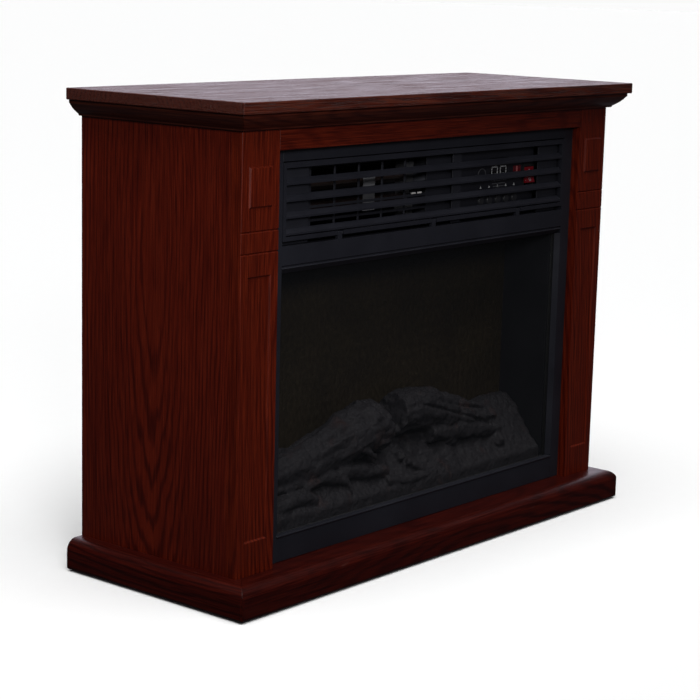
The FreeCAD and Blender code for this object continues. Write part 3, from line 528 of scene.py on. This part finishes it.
def lit(name, color, strength):
    """A lit or printed mark that shows in the dark bay."""
    mark = Finish(name, (*color, 1), 0.5)
    cloud = mark.noise(300.0, 2.0, 0.5)
    mark.link(mark.ramp(cloud, [(0.3, toned(color, 0.92)), (0.7, color)]), "Base Color")
    mark.glow((*color, 1), strength)
    return mark.material


# ---- operators: mantel
class FIREPLACE_OT_mantel_top(bpy.types.Operator):
    """Finishes the slab and the cornice moulding under it"""
    bl_idname = "fireplace.mantel_top"
    bl_label = "Mantel top"

    def execute(self, context):
        ease = context.scene.fireplace_mantel.edge_ease
        across = finish("cornice_across", veneer, "x", (0.05, -0.2, 0.6), (0.62, 1.25, 2.0))
        deep = finish("cornice_deep", veneer, "y", (-0.3, 0.05, 0.58), (0.50, 1.15, 2.0))
        slab = finish("veneer_slab", veneer, "x", (-0.1, 0.02, 0.6), (0.72, 1.5, 2.6), 0.0010, (0.12, 0.72))
        eased_node("top_board", slab, ease * 1.6, segments=3)
        eased_node("cornice_front", across, ease)
        eased_node("cornice_left", deep, ease)
        eased_node("cornice_right", deep, ease)
        return {"FINISHED"}


class FIREPLACE_OT_mantel_body(bpy.types.Operator):
    """Finishes the side panels, the pilasters and the rail between them"""
    bl_idname = "fireplace.mantel_body"
    bl_label = "Mantel body"

    def execute(self, context):
        ease = context.scene.fireplace_mantel.edge_ease
        for side, x, high in (("left", -1, 0.41), ("right", 1, 0.22)):
            upright = finish("veneer_side_" + side, veneer, "z", (x * 0.345, 0.03, high))
            front = finish("veneer_front_" + side, veneer, "z", (x * 0.30, -0.09, high - 0.15),
                           (1.06, 1.1, 0.8))
            eased_node("side_panel_" + side, upright, ease)
            eased_node("pilaster_" + side, front, ease)
        eased_node("top_rail", finish("veneer_rail", veneer, "x", (0.05, -0.2, 0.6), (0.85, 0.9, 0.8)),
                   ease)
        return {"FINISHED"}


class FIREPLACE_OT_base(bpy.types.Operator):
    """Finishes the base moulding and the boards and feet below"""
    bl_idname = "fireplace.base"
    bl_label = "Base"

    def execute(self, context):
        ease = context.scene.fireplace_mantel.edge_ease
        across = finish("scuffed_across", scuffed_veneer, "x", (0.1, -0.12, 0.0))
        deep = finish("scuffed_deep", scuffed_veneer, "y", (-0.36, 0.0, 0.06))
        eased_node("base_front", across, ease)
        eased_node("base_left", deep, ease)
        eased_node("base_right", deep, ease)
        board = finish("bare_board", plain_board)
        for node in ("base_rear", "bottom_panel", "corner_blocks", "top_cleats"):
            eased_node(node, board, ease)
        eased_node("glides", finish("glide_black", moulded, (0.012, 0.012, 0.012), 0.5),
                   0.0005)
        return {"FINISHED"}


class FIREPLACE_OT_back(bpy.types.Operator):
    """Finishes the back panel, its cable bush and the screws"""
    bl_idname = "fireplace.back"
    bl_label = "Back"

    def execute(self, context):
        eased_node("back_panel", finish("black_hardboard", hardboard), 0.0004, segments=1)
        eased_node("cord_gland", finish("black_rubber", moulded, (0.010, 0.010, 0.010), 0.55, 0.35),
                   0.0006)
        eased_node("screws", finish("zinc", bare_metal, (0.42, 0.42, 0.40), 0.34), 0.0003)
        return {"FINISHED"}


# ---- operators: insert
class FIREPLACE_OT_surround(bpy.types.Operator):
    """Finishes the black surround, the glass and its seal"""
    bl_idname = "fireplace.surround"
    bl_label = "Surround and glass"

    def execute(self, context):
        black = finish("surround_black", satin_black)
        for node in ("frame_stile_left", "frame_stile_right", "frame_top_bar", "frame_mid_band",
                     "frame_bottom_rail"):
            eased_node(node, black, 0.0008)
        paint_node("glass_pane", finish("front_glass", clear_glass))
        eased_node("glass_gasket", finish("gasket", woven_cord), 0.0006)
        return {"FINISHED"}


class FIREPLACE_OT_louver_door(bpy.types.Operator):
    """Finishes the louvred door with rounded blades"""
    bl_idname = "fireplace.louver_door"
    bl_label = "Louvred door"

    def execute(self, context):
        black = finish("louver_black", satin_black, 0.34, 2200.0, 0.00002)
        eased_node("louver_door", black, context.scene.fireplace_insert.blade_round,
                   "louver_door", 3)
        return {"FINISHED"}


class FIREPLACE_OT_heater(bpy.types.Operator):
    """Finishes the heater bay: plates, grid, duct, tubes, coils and blower"""
    bl_idname = "fireplace.heater"
    bl_label = "Heater"

    def execute(self, context):
        plate = finish("plate_black", satin_black, 0.5, 1400.0, 0.00003, 1.1)
        eased_node("heater_front_plates", plate, 0.0004)
        eased_node("outlet_grid", plate, 0.0004)
        # The duct is galvanised steel coloured near black: painted shade of the deep bay behind the door.
        duct = finish("galvanised", bare_metal, (0.034, 0.035, 0.042), 0.5)
        eased_node("heater_duct", duct, 0.0003)
        # The reflector is bright sheet metal coloured near black: painted shade of the deep bay.
        shaded_sheet = finish("bright_sheet", bare_metal, (0.05, 0.05, 0.056), 0.3, (0.05, 1, 1))
        eased_node("reflector", shaded_sheet, 0.0002)
        # The tube holders are pale steatite coloured near black: painted shade of the deep bay.
        shaded_ceramic = finish("steatite", moulded, (0.055, 0.055, 0.06), 0.6, 0.3)
        eased_node("tube_holders", shaded_ceramic, 0.0004)
        self.tube_clip(finish("clip_plate", moulded, (0.20, 0.20, 0.215), 0.5, 0.3))
        # The feed tabs are real terminals, and their diffuse near-white colour is a painted glint on each
        # tab.
        self.terminals(duct, finish("tinned_tab", moulded, (0.86, 0.83, 0.82), 0.35))
        paint_node("quartz_tubes", finish("quartz", clear_quartz))
        paint_node("heating_coils", finish("resistance_wire", bare_metal, (0.34, 0.29, 0.26), 0.4))
        eased_node("blower_housing", duct, 0.0003)
        wheel = finish("wheel_sheet", bare_metal, (0.52, 0.53, 0.55), 0.35)
        eased_node("blower_wheel", wheel, 0.0001, body_of("blower_wheel"), 1)
        motor = finish("motor_steel", bare_metal, (0.30, 0.30, 0.31), 0.42)
        eased_node("blower_motor", motor, 0.0005)
        return {"FINISHED"}

    def tube_clip(self, material):
        """The insulated strip that steadies both tubes at mid length."""
        low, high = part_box("quartz_tubes")
        middle = (low.x + high.x) / 2 + 0.025
        clip = block("tube_clip", (middle - 0.012, low.y - 0.0021, low.z - 0.007),
                     (middle + 0.012, low.y - 0.0012, high.z + 0.007))
        ease_edges(clip, 0.0003)
        finish_piece(clip, material, "cabinet")

    def terminals(self, steel, glint_white):
        """A strip off the end wall of the duct, in the duct's metal with its painted shade, and the two tabs
        that feed the tubes, coloured near white as painted glints.
        """
        low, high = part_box("heater_duct")
        foot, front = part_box("quartz_tubes")[0].z + 0.007, low.y + 0.006
        strip = block("terminal_strip", (high.x - 0.032, front, foot),
                      (high.x - 0.0005, front + 0.001, foot + 0.010))
        ease_edges(strip, 0.0002)
        finish_piece(strip, steel, "cabinet")
        for number, inset in enumerate((0.0285, 0.0155)):
            tab = block("feed_tab_%d" % (number + 1), (high.x - inset, front - 0.0012, foot + 0.002),
                        (high.x - inset + 0.0085, front + 0.0002, foot + 0.0065))
            ease_edges(tab, 0.0003)
            finish_piece(tab, glint_white, "cabinet")


def slat(width, height, place, tip=0.0, depth=0.0002):
    """A thin bar standing in the XZ plane at a place, with pointed ends where tip is above zero."""
    bpy.ops.object.select_all(action="DESELECT")
    bpy.ops.mesh.primitive_cube_add(size=1, location=(0, 0, 0))
    bar = bpy.context.object
    bar.scale = (width - 2 * tip, depth, height)
    apply_place(bar)
    if tip:
        bpy.ops.object.mode_set(mode="EDIT")
        for way in (-1, 1):
            select_where(bar, "FACE", lambda face: face.normal.x * way > 0.9)
            bpy.ops.mesh.extrude_region_move(TRANSFORM_OT_translate={"value": (way * tip, 0, 0)})
            bpy.ops.transform.resize(value=(1, 1, 0.12))
        bpy.ops.object.mode_set(mode="OBJECT")
    else:
        apply_modifier(bar, "BEVEL", width=min(width, height) * 0.2, segments=2)
    bar.location = place
    apply_place(bar)
    return bar


def digit_zero(centre, width, height, stroke):
    """The six outer bars of a seven-bar zero."""
    gap = stroke * 0.18
    upright = height / 2 - gap
    bars = []
    for way in (-1, 1):
        level = centre + Vector((0, 0, way * (height - stroke) / 2))
        bars.append(slat(width - 2 * gap, stroke, level, stroke / 2))
        for half in (-1, 1):
            bar = slat(upright, stroke, (0, 0, 0), stroke / 2)
            bar.rotation_euler = (0, math.pi / 2, 0)
            bar.location = centre + Vector((way * (width - stroke) / 2, 0, half * height / 4))
            bars.append(bar)
    for bar in bars:
        apply_place(bar)
    return bars


def flat_ring(centre, radius, wire, depth=0.0003):
    """A thin printed ring in the XZ plane."""
    bpy.ops.object.select_all(action="DESELECT")
    bpy.ops.mesh.primitive_torus_add(major_radius=radius, minor_radius=wire, major_segments=40,
                                     minor_segments=8, rotation=(math.pi / 2, 0, 0))
    ring = bpy.context.object
    apply_place(ring)
    ring.scale = (1, depth / (2 * wire), 1)
    ring.location = centre
    apply_place(ring)
    return ring


def front_spot(piece, x, z, lift):
    """The point on a piece's front at x and z, lifted off it, and the surface's normal there."""
    hit, place, normal, _ = piece.ray_cast(Vector((x, -1, z)), Vector((0, 1, 0)))
    if not hit:
        raise RuntimeError(piece.name + " has no front at that place")
    return place + normal * lift, normal


def rocker_marks(rocker, low, high):
    """A bar on the upper half of the rocker and a ring on the lower half."""
    middle = (low.x + high.x) / 2
    rise = high.z - low.z
    marks = []
    for share, make in ((0.76, lambda: slat(0.0010, 0.0052, (0, 0, 0))),
                        (0.24, lambda: flat_ring((0, 0, 0), 0.0023, 0.0004))):
        place, normal = front_spot(rocker, middle, low.z + rise * share, 0.00012)
        mark = make()
        mark.rotation_euler = (Vector((0, -1, 0)).rotation_difference(normal)).to_euler()
        mark.location = place
        apply_place(mark)
        marks.append(mark)
    return marks


class FIREPLACE_OT_controls(bpy.types.Operator):
    """Finishes the control fascia, the display, the buttons and the rocker, with their marks"""
    bl_idname = "fireplace.controls"
    bl_label = "Controls"

    def execute(self, context):
        settings = context.scene.fireplace_insert
        fascia = finish("fascia_black", satin_black, 0.42, 2000.0, 0.00002, 0.9)
        eased_node("control_fascia", fascia, 0.0003)
        eased_node("display_module", finish("display_window", moulded, (0.006, 0.006, 0.007), 0.12),
                   0.0004)
        keys = finish("button_black", moulded, (0.018, 0.018, 0.021), 0.42, 0.4)
        for number in range(1, 6):
            node = f"button_{number}"
            eased_node(node, keys, 0.0005, body_of(node), 3)
        eased_node("rocker_housing", finish("housing_black", moulded, (0.010, 0.010, 0.010), 0.3),
                   0.0005)
        red = finish("rocker_red", moulded, tuple(settings.rocker[:3]), 0.22)
        rocker = eased_node("power_rocker", red, 0.0006, body_of("power_rocker"), 3)
        eased_node("control_board", finish("circuit_board", circuit_board), 0.0002,
                   segments=1)

        white = finish("white_print", lit, (0.34, 0.34, 0.35), 0.0)
        legend = joined(rocker_marks(rocker, *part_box("power_rocker")), "rocker_legend")
        finish_piece(legend, white, body_of("power_rocker"))
        self.display(tuple(settings.digit[:3]))
        self.print(white)
        return {"FINISHED"}

    def display(self, tone):
        """Two lit zeros in the window and the red lamp beside it."""
        low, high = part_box("display_module")
        high.x = min(high.x, low.x + 0.044)
        width, height = high.x - low.x, high.z - low.z
        bars = []
        for way in (-1, 1):
            centre = Vector(((low.x + high.x) / 2 + way * width * 0.235, low.y - 0.00008,
                             low.z + height * 0.66 - 0.0082))
            bars += digit_zero(centre, width * 0.34, DIGIT_HEIGHT, DIGIT_STROKE)
        finish_piece(joined(bars, "digits"), finish("lit_digits", lit, tone, 0.05), "cabinet")
        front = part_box("control_fascia")[0].y
        lamp = slat(0.018, 0.010, Vector((high.x + 0.0215, front - 0.0002, (low.z + high.z) / 2 - 0.0045)),
                    depth=0.0008)
        finish_piece(lamp, finish("red_lamp", moulded, (0.085, 0.005, 0.008), 0.25), "cabinet")
        lamp.name = "red_lamp"
        glow = slat(0.0036, 0.0085, Vector((high.x + 0.0205, front - 0.0007, (low.z + high.z) / 2 - 0.0045)))
        finish_piece(glow, finish("lamp_glow", lit, (0.30, 0.075, 0.08), 0.03), "cabinet")
        glow.name = "lamp_glow"

    def print(self, white):
        """Generic marks on the fascia: a wedge over each button, rules under the window and an arc."""
        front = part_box("control_fascia")[0].y - 0.00008
        window_low, window_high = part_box("display_module")
        marks = []
        for number in range(1, 6):
            low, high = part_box(f"button_{number}")
            middle = (low.x + high.x) / 2
            bpy.ops.mesh.primitive_cylinder_add(vertices=3, radius=0.0024, depth=0.0002,
                                                location=(middle, front, high.z + 0.0112),
                                                rotation=(math.pi / 2, 0, 0))
            marks.append(bpy.context.object)
        legend = joined(marks, "button_marks")
        apply_place(legend)
        finish_piece(legend, white, "cabinet")
        grey = finish("grey_print", lit, (0.07, 0.07, 0.078), 0.0)
        left = window_low.x + 0.022
        rules = [slat(0.038 - 0.006 * row, 0.0011, Vector((left, front, window_low.z - 0.005 - 0.004 * row)))
                 for row in range(3)]
        ring = flat_ring(Vector((window_low.x - 0.0185, front, window_low.z + 0.005)), 0.0088, 0.0006)
        only(ring)
        bpy.ops.object.mode_set(mode="EDIT")
        bpy.ops.mesh.select_all(action="SELECT")
        bpy.ops.mesh.bisect(plane_co=(0, 0, window_low.z + 0.0045), plane_no=(0, 0, -1), clear_outer=True,
                            use_fill=True)
        bpy.ops.object.mode_set(mode="OBJECT")
        finish_piece(joined([*rules, ring], "fascia_marks"), grey, "cabinet")


# ---- operators: firebox
class FIREPLACE_OT_firebox(bpy.types.Operator):
    """Finishes the sheet case round the fire and the smoked screen"""
    bl_idname = "fireplace.firebox"
    bl_label = "Firebox"

    def execute(self, context):
        steel = finish("case_steel", satin_black, 0.55, 1200.0, 0.00003, 0.42)
        for part in ("side_left", "side_right", "top", "floor", "divider", "back"):
            eased_node("case_" + part, steel, 0.0003, segments=1)
        paint_node("flame_screen", finish("smoked_screen", smoked_screen))
        return {"FINISHED"}


def point_on(path, t):
    """The point at t from 0 to 1 along a smooth line through these points."""
    spans = len(path) - 1
    i = min(int(t * spans), spans - 1)
    u = t * spans - i
    a, b, c, d = (path[max(0, min(spans, k))] for k in (i - 1, i, i + 1, i + 2))
    return 0.5 * (2 * b + u * (c - a) + u * u * (2 * a - 5 * b + 4 * c - d)
                  + u ** 3 * (3 * b - a - 3 * c + d))


def limb(name, path, radii, bark, hollow=0.0, sides=56, rings=70):
    """A log or branch along a line of points in mm, its bark in ridges and one end burnt hollow if asked."""
    bpy.ops.object.select_all(action="DESELECT")
    bpy.ops.mesh.primitive_cylinder_add(vertices=sides, radius=1, depth=1, location=(0, 0, 0))
    piece = bpy.context.object
    piece.name = name
    bpy.ops.object.mode_set(mode="EDIT")
    select_where(piece, "EDGE", lambda edge: abs(edge.verts[1].co.z - edge.verts[0].co.z) > 0.5)
    bpy.ops.mesh.subdivide(number_cuts=rings)
    select_where(piece, "FACE", lambda face: face.normal.z < -0.9)
    bpy.ops.mesh.inset(thickness=0.34)
    if hollow:
        bpy.ops.mesh.extrude_region_move(TRANSFORM_OT_translate={"value": (0, 0, hollow)})
        bpy.ops.transform.resize(value=(0.72, 0.72, 1))
    bpy.ops.object.mode_set(mode="OBJECT")
    line = [Vector(point) * MM for point in path]
    sizes = [Vector((r * MM, 0, 0)) for r in radii]
    along = (line[-1] - line[0]).normalized()
    side = along.cross(Vector((0, 0, 1))).normalized()
    up = along.cross(side)
    length = (line[-1] - line[0]).length
    for vert in piece.data.vertices:
        t = min(1, max(0, vert.co.z + 0.5))
        reach = math.hypot(vert.co.x, vert.co.y)
        angle = math.atan2(vert.co.y, vert.co.x)
        radius = point_on(sizes, t).x if len(sizes) > 2 else sizes[0].x * (1 - t) + sizes[-1].x * t
        spot = Vector((math.cos(angle) * radius, math.sin(angle) * radius, t * length)) / 0.013
        spot.z *= 0.22
        ridge = 1 - 2.2 * abs(noise.noise(spot + line[0] * 90))
        plate = noise.noise(Vector((spot.x * 0.45, spot.y * 0.45, t * length / 0.022)) + line[0] * 50)
        chip = min(0.0, noise.noise(Vector((spot.x * 0.3, spot.y * 0.3, t * length / 0.016))) + 0.28)
        out = radius + bark * (0.8 * ridge + 0.7 * plate + 3.2 * chip)
        fray = bark * 1.6 * noise.noise(Vector((vert.co.x * 3, vert.co.y * 3, radius * 700)))
        ends = along * fray if t in (0, 1) else Vector()
        vert.co = (point_on(line, t) + side * math.cos(angle) * reach * out
                   + up * math.sin(angle) * reach * out + ends)
    return piece


def normals_of(piece):
    """Every vertex normal, read before any vertex moves."""
    return [vert.normal.copy() for vert in piece.data.vertices]


def ember_bed(low, high):
    """The cast slope of cinders, from its low front edge up to the flat at the back."""
    bed = block("ember_bed", low, high)
    bpy.ops.object.mode_set(mode="EDIT")
    bpy.ops.mesh.select_all(action="SELECT")
    bpy.ops.mesh.bisect(plane_co=(0, BED_CREST_Y, 0), plane_no=(0, 1, 0))
    select_where(bed, "VERT", lambda vert: vert.co.z > high.z - MM and vert.co.y < low.y + MM)
    bpy.ops.transform.translate(value=(0, 0, BED_FRONT_Z - high.z))
    bpy.ops.object.mode_set(mode="OBJECT")
    apply_modifier(bed, "REMESH", mode="VOXEL", voxel_size=BED_VOXEL)
    for vert, normal in zip(bed.data.vertices, normals_of(bed)):
        place = vert.co
        top = min(1, max(0, (place.z - low.z - 0.012) / 0.02))
        left = min(1, max(0, (0.23 - place.x) / 0.08))
        lumps = noise.fractal(place / 0.030, 0.8, 2.1, 4)
        mound = 0.004 * max(0, min(1, (place.x - 0.19) / 0.05)) * max(0, min(1, (place.y + 0.085) / 0.03))
        cell = noise.voronoi(place / 0.026)[0][0]
        rise = (0.0018 + 0.0022 * left) * lumps - 0.0035 * left * max(0, cell - 0.25)
        vert.co = place + normal * rise * top + Vector((0, 0, mound * top))
    return bed


BED_CREST_Y = -0.036
BED_FRONT_Z = 0.092
BED_BACK_Z = 0.163
BED_VOXEL = 0.0035
LOG_VOXEL = 0.0019
# Each limb: name, points and radii in mm, share of the bark depth, share of its length that is burnt hollow
LIMBS = (
    ("left_log", [(-291, -54, 132), (-205, -54, 142), (-112, -56, 166), (-72, -56, 175), (-46, -56, 175)],
     [25, 28, 33, 35, 33], 1.7, 0.12),
    ("back_log", [(-4, -48, 181), (56, -46, 180), (140, -48, 157), (222, -52, 138)],
     [29, 31, 27, 18], 1.5, 0.0),
    ("split_log", [(60, -66, 146), (130, -66, 140), (222, -70, 126)], [11, 12, 8], 0.9, 0.0),
    ("low_log", [(-150, -74, 128), (-100, -78, 122), (-52, -80, 114)], [9, 10, 8], 0.8, 0.0),
    ("crossed_branch", [(-128, -84, 165), (-108, -87, 154), (-85, -89, 141)], [5, 5, 3.5], 0.35, 0.0),
    ("front_branch", [(-4, -77, 119), (14, -84, 109), (33, -90, 97)], [5.5, 5, 3.5], 0.35, 0.0),
    ("knot_branch", [(-14, -78, 129), (-12, -68, 121), (-4, -58, 112)], [6, 8, 8], 1.1, 0.0),
    ("bent_root", [(-222, -76, 119), (-182, -76, 126), (-144, -80, 117), (-138, -88, 100)],
     [8, 9, 8, 6], 0.6, 0.0),
    ("middle_knot", [(98, -70, 139), (108, -62, 134), (122, -54, 128)], [10, 13, 12], 1.5, 0.0),
    ("right_knot", [(206, -83, 115), (214, -76, 112), (226, -68, 108)], [8, 11, 10], 1.3, 0.0),
    ("front_root", [(-60, -86, 101), (0, -90, 96), (50, -88, 97)], [7, 6, 5], 0.5, 0.0),
    ("left_root", [(-285, -84, 104), (-240, -82, 110), (-205, -84, 104)], [9, 10, 7], 0.6, 0.0),
)
# Two drying splits, each a line of points in mm
SPLITS = (
    ((36, -74, 193), (116, -70, 169), (207, -64, 137)),
    ((77, -66, 193), (142, -64, 174), (198, -60, 161)),
)


def split_depth(place):
    """How deep the drying splits cut into the logs at a point, in metres."""
    deepest = 0.0
    for path in SPLITS:
        points = [Vector(point) * MM for point in path]
        for start, end in zip(points, points[1:]):
            near, share = intersect_point_line(place, start, end)
            near = start.lerp(end, min(1, max(0, share)))
            gap = Vector((place.x - near.x, 0, place.z - near.z)).length
            if place.y < near.y + 0.022:
                deepest = max(deepest, 0.0042 * max(0.0, 1 - gap / 0.0034))
    return deepest


class FIREPLACE_OT_logs(bpy.types.Operator):
    """Models the cast ember bed and its logs"""
    bl_idname = "fireplace.logs"
    bl_label = "Logs"

    def execute(self, context):
        settings = context.scene.fireplace_fire
        low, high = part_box("log_set")
        bed = ember_bed(low, Vector((high.x, high.y, BED_BACK_Z)))
        limbs = [limb(name, path, radii, settings.bark_depth * share, hollow)
                 for name, path, radii, share, hollow in LIMBS]
        logs = joined([bed, *limbs], "cast_logs")
        apply_modifier(logs, "REMESH", mode="VOXEL", voxel_size=LOG_VOXEL)
        offset = Vector((settings.seed, 0, 0))
        for vert, normal in zip(logs.data.vertices, normals_of(logs)):
            place = vert.co
            top = min(1, max(0, (place.z - low.z) / 0.02))
            grit = noise.fractal(place / 0.010 + offset, 0.7, 2.2, 4)
            crack = max(0.0, abs(noise.noise(place / 0.016 + offset)) * -6 + 0.7)
            cut = 0.0011 * grit - 0.0016 * crack - split_depth(place)
            moved = place + normal * cut * top
            vert.co = [min(max(c, lo), hi) for c, lo, hi in zip(moved, low, high)]
        smooth(logs, 60.0)
        finish_piece(logs, finish("charred_resin", charred_resin), "cabinet", "log_set")
        return {"FINISHED"}


class FIREPLACE_OT_flame_effect(bpy.types.Operator):
    """Finishes the flame rotor, its brackets, its motor and the lamp board"""
    bl_idname = "fireplace.flame_effect"
    bl_label = "Flame effect"

    def execute(self, context):
        # The rotor shares the reflector's near-black sheet: painted shade inside the firebox.
        shaded_sheet = finish("bright_sheet", bare_metal, (0.05, 0.05, 0.056), 0.3, (0.05, 1, 1))
        eased_node("flame_rotor", shaded_sheet, 0.0001, body_of("flame_rotor"), 1)
        # The brackets share the duct's near-black galvanised metal: painted shade inside the firebox.
        steel = finish("galvanised", bare_metal, (0.034, 0.035, 0.042), 0.5)
        eased_node("rotor_brackets", steel, 0.0003)
        eased_node("rotor_motor", finish("motor_steel", bare_metal, (0.30, 0.30, 0.31), 0.42),
                   0.0004)
        eased_node("led_board", finish("circuit_board", circuit_board), 0.0002, segments=1)
        return {"FINISHED"}


# ---- operators: stage
def softbox(name, place, aim, size, watts, spread=math.pi):
    data = bpy.data.lights.new(name, "AREA")
    data.shape = "RECTANGLE"
    data.size, data.size_y = size
    data.energy = watts
    lamp = bpy.data.objects.new(name, data)
    bpy.context.scene.collection.objects.link(lamp)
    lamp.location = place
    lamp.rotation_euler = (Vector(aim) - Vector(place)).to_track_quat("-Z", "Y").to_euler()
    data.spread = spread
    lamp.visible_camera = False


def studio_air():
    """Pale to the camera, dim to matt surfaces, and one bright wall for the gloss to mirror."""
    world = bpy.data.worlds.new("studio_air")
    bpy.context.scene.world = world
    world.use_nodes = True
    nodes, links = world.node_tree.nodes, world.node_tree.links
    dim = nodes["Background"]
    dim.inputs["Color"].default_value = (0.95, 0.97, 1.0, 1)
    dim.inputs["Strength"].default_value = 0.05
    pale = nodes.new("ShaderNodeBackground")
    pale.inputs["Color"].default_value = (1, 1, 1, 1)
    pale.inputs["Strength"].default_value = 0.97
    wall = nodes.new("ShaderNodeBackground")
    wall.inputs["Color"].default_value = (0.97, 0.92, 1.07, 1)
    toward = nodes.new("ShaderNodeVectorMath")
    toward.operation = "DOT_PRODUCT"
    toward.inputs[1].default_value = WALL_DIRECTION
    links.new(nodes.new("ShaderNodeTexCoord").outputs["Generated"], toward.inputs[0])
    level = nodes.new("ShaderNodeMapRange")
    for key, number in zip(("From Min", "From Max", "To Min", "To Max"), (0.72, 0.93, 0.035, WALL_GLOW)):
        level.inputs[key].default_value = number
    links.new(toward.outputs["Value"], level.inputs["Value"])
    links.new(level.outputs["Result"], wall.inputs["Strength"])
    path = nodes.new("ShaderNodeLightPath")
    gloss = nodes.new("ShaderNodeMixShader")
    seen = nodes.new("ShaderNodeMixShader")
    links.new(path.outputs["Is Glossy Ray"], gloss.inputs["Fac"])
    links.new(dim.outputs["Background"], gloss.inputs[1])
    links.new(wall.outputs["Background"], gloss.inputs[2])
    links.new(path.outputs["Is Camera Ray"], seen.inputs["Fac"])
    links.new(gloss.outputs["Shader"], seen.inputs[1])
    links.new(pale.outputs["Background"], seen.inputs[2])
    links.new(seen.outputs["Shader"], nodes["World Output"].inputs["Surface"])


WALL_DIRECTION = (0.755, 0.63, 0.19)
WALL_GLOW = 1.48
CAMERA_PLACE = (-2.1097, -1.7267, 0.7898)
CAMERA_PAN = -0.8757
CAMERA_TILT = math.pi / 2 - 0.1904
CAMERA_ROLL = 0.0256


class FIREPLACE_OT_stage(bpy.types.Operator):
    """Lays the floor and sets the lights and the camera"""
    bl_idname = "fireplace.stage"
    bl_label = "Stage"

    def execute(self, context):
        settings = context.scene.fireplace_stage
        bpy.ops.object.select_all(action="DESELECT")
        bpy.ops.mesh.primitive_plane_add(size=80, location=(0, 0, 0))
        floor = context.object
        floor.name = "floor"
        paper = Finish("floor_paper", tuple(settings.floor), 0.9, specular=0.0)
        grain = paper.noise(40.0, 3.0, 0.5)
        tone = tuple(settings.floor[:3])
        paper.link(paper.ramp(grain, [(0.3, toned(tone, 0.995)), (0.7, tone)]), "Base Color")
        floor.data.materials.append(paper.material)
        floor.visible_glossy = False
        floor.visible_diffuse = False
        studio_air()

        sky = bpy.data.lights.new("overhead", "SUN")
        sky.energy = 3.3
        sky.angle = math.radians(60)
        overhead = bpy.data.objects.new("overhead", sky)
        context.scene.collection.objects.link(overhead)
        overhead.rotation_euler = Vector((0.16, 0.24, -1)).to_track_quat("-Z", "Y").to_euler()
        softbox("front_left", (-1.35, -1.35, 1.10), (-0.30, -0.05, 0.72), (0.5, 0.4), 2.8, math.radians(62))

        data = bpy.data.cameras.new("camera")
        data.lens = settings.focal
        data.sensor_width = 36
        camera = bpy.data.objects.new("camera", data)
        context.scene.collection.objects.link(camera)
        turn = Matrix.Rotation(CAMERA_PAN, 4, "Z") @ Matrix.Rotation(CAMERA_TILT, 4, "X")
        camera.matrix_world = Matrix.Translation(CAMERA_PLACE) @ turn @ Matrix.Rotation(CAMERA_ROLL, 4, "Z")
        context.scene.camera = camera
        context.scene.view_settings.view_transform = "Standard"
        return {"FINISHED"}


# ---- panel and registration
STEPS = ("mantel_top", "mantel_body", "base", "back", "surround", "louver_door", "heater", "controls",
         "firebox", "logs", "flame_effect", "stage")


class FIREPLACE_PT_build(bpy.types.Panel):
    """Lists the steps that finish the fireplace"""
    bl_idname = "FIREPLACE_PT_build"
    bl_label = "Electric fireplace"
    bl_space_type = "VIEW_3D"
    bl_region_type = "UI"
    bl_category = "Fireplace"

    def draw(self, context):
        for group in GROUPS:
            settings = getattr(context.scene, group)
            for key in settings.__annotations__:
                self.layout.prop(settings, key)
        for step in STEPS:
            self.layout.operator("fireplace." + step)


GROUPS = {"fireplace_mantel": MantelSettings, "fireplace_insert": InsertSettings,
          "fireplace_fire": FireSettings, "fireplace_stage": StageSettings}
CLASSES = (*GROUPS.values(), FIREPLACE_OT_mantel_top, FIREPLACE_OT_mantel_body, FIREPLACE_OT_base,
           FIREPLACE_OT_back, FIREPLACE_OT_surround, FIREPLACE_OT_louver_door, FIREPLACE_OT_heater,
           FIREPLACE_OT_controls, FIREPLACE_OT_firebox, FIREPLACE_OT_logs, FIREPLACE_OT_flame_effect,
           FIREPLACE_OT_stage, FIREPLACE_PT_build)


def register():
    for cls in CLASSES:
        bpy.utils.register_class(cls)
    for name, cls in GROUPS.items():
        setattr(bpy.types.Scene, name, PointerProperty(type=cls))


def unregister():
    for name in GROUPS:
        delattr(bpy.types.Scene, name)
    for cls in reversed(CLASSES):
        bpy.utils.unregister_class(cls)


def main():
    register()
    bpy.ops.object.select_all(action="DESELECT")
    for step in STEPS:
        getattr(bpy.ops.fireplace, step)()


if __name__ == "__main__":
    main()
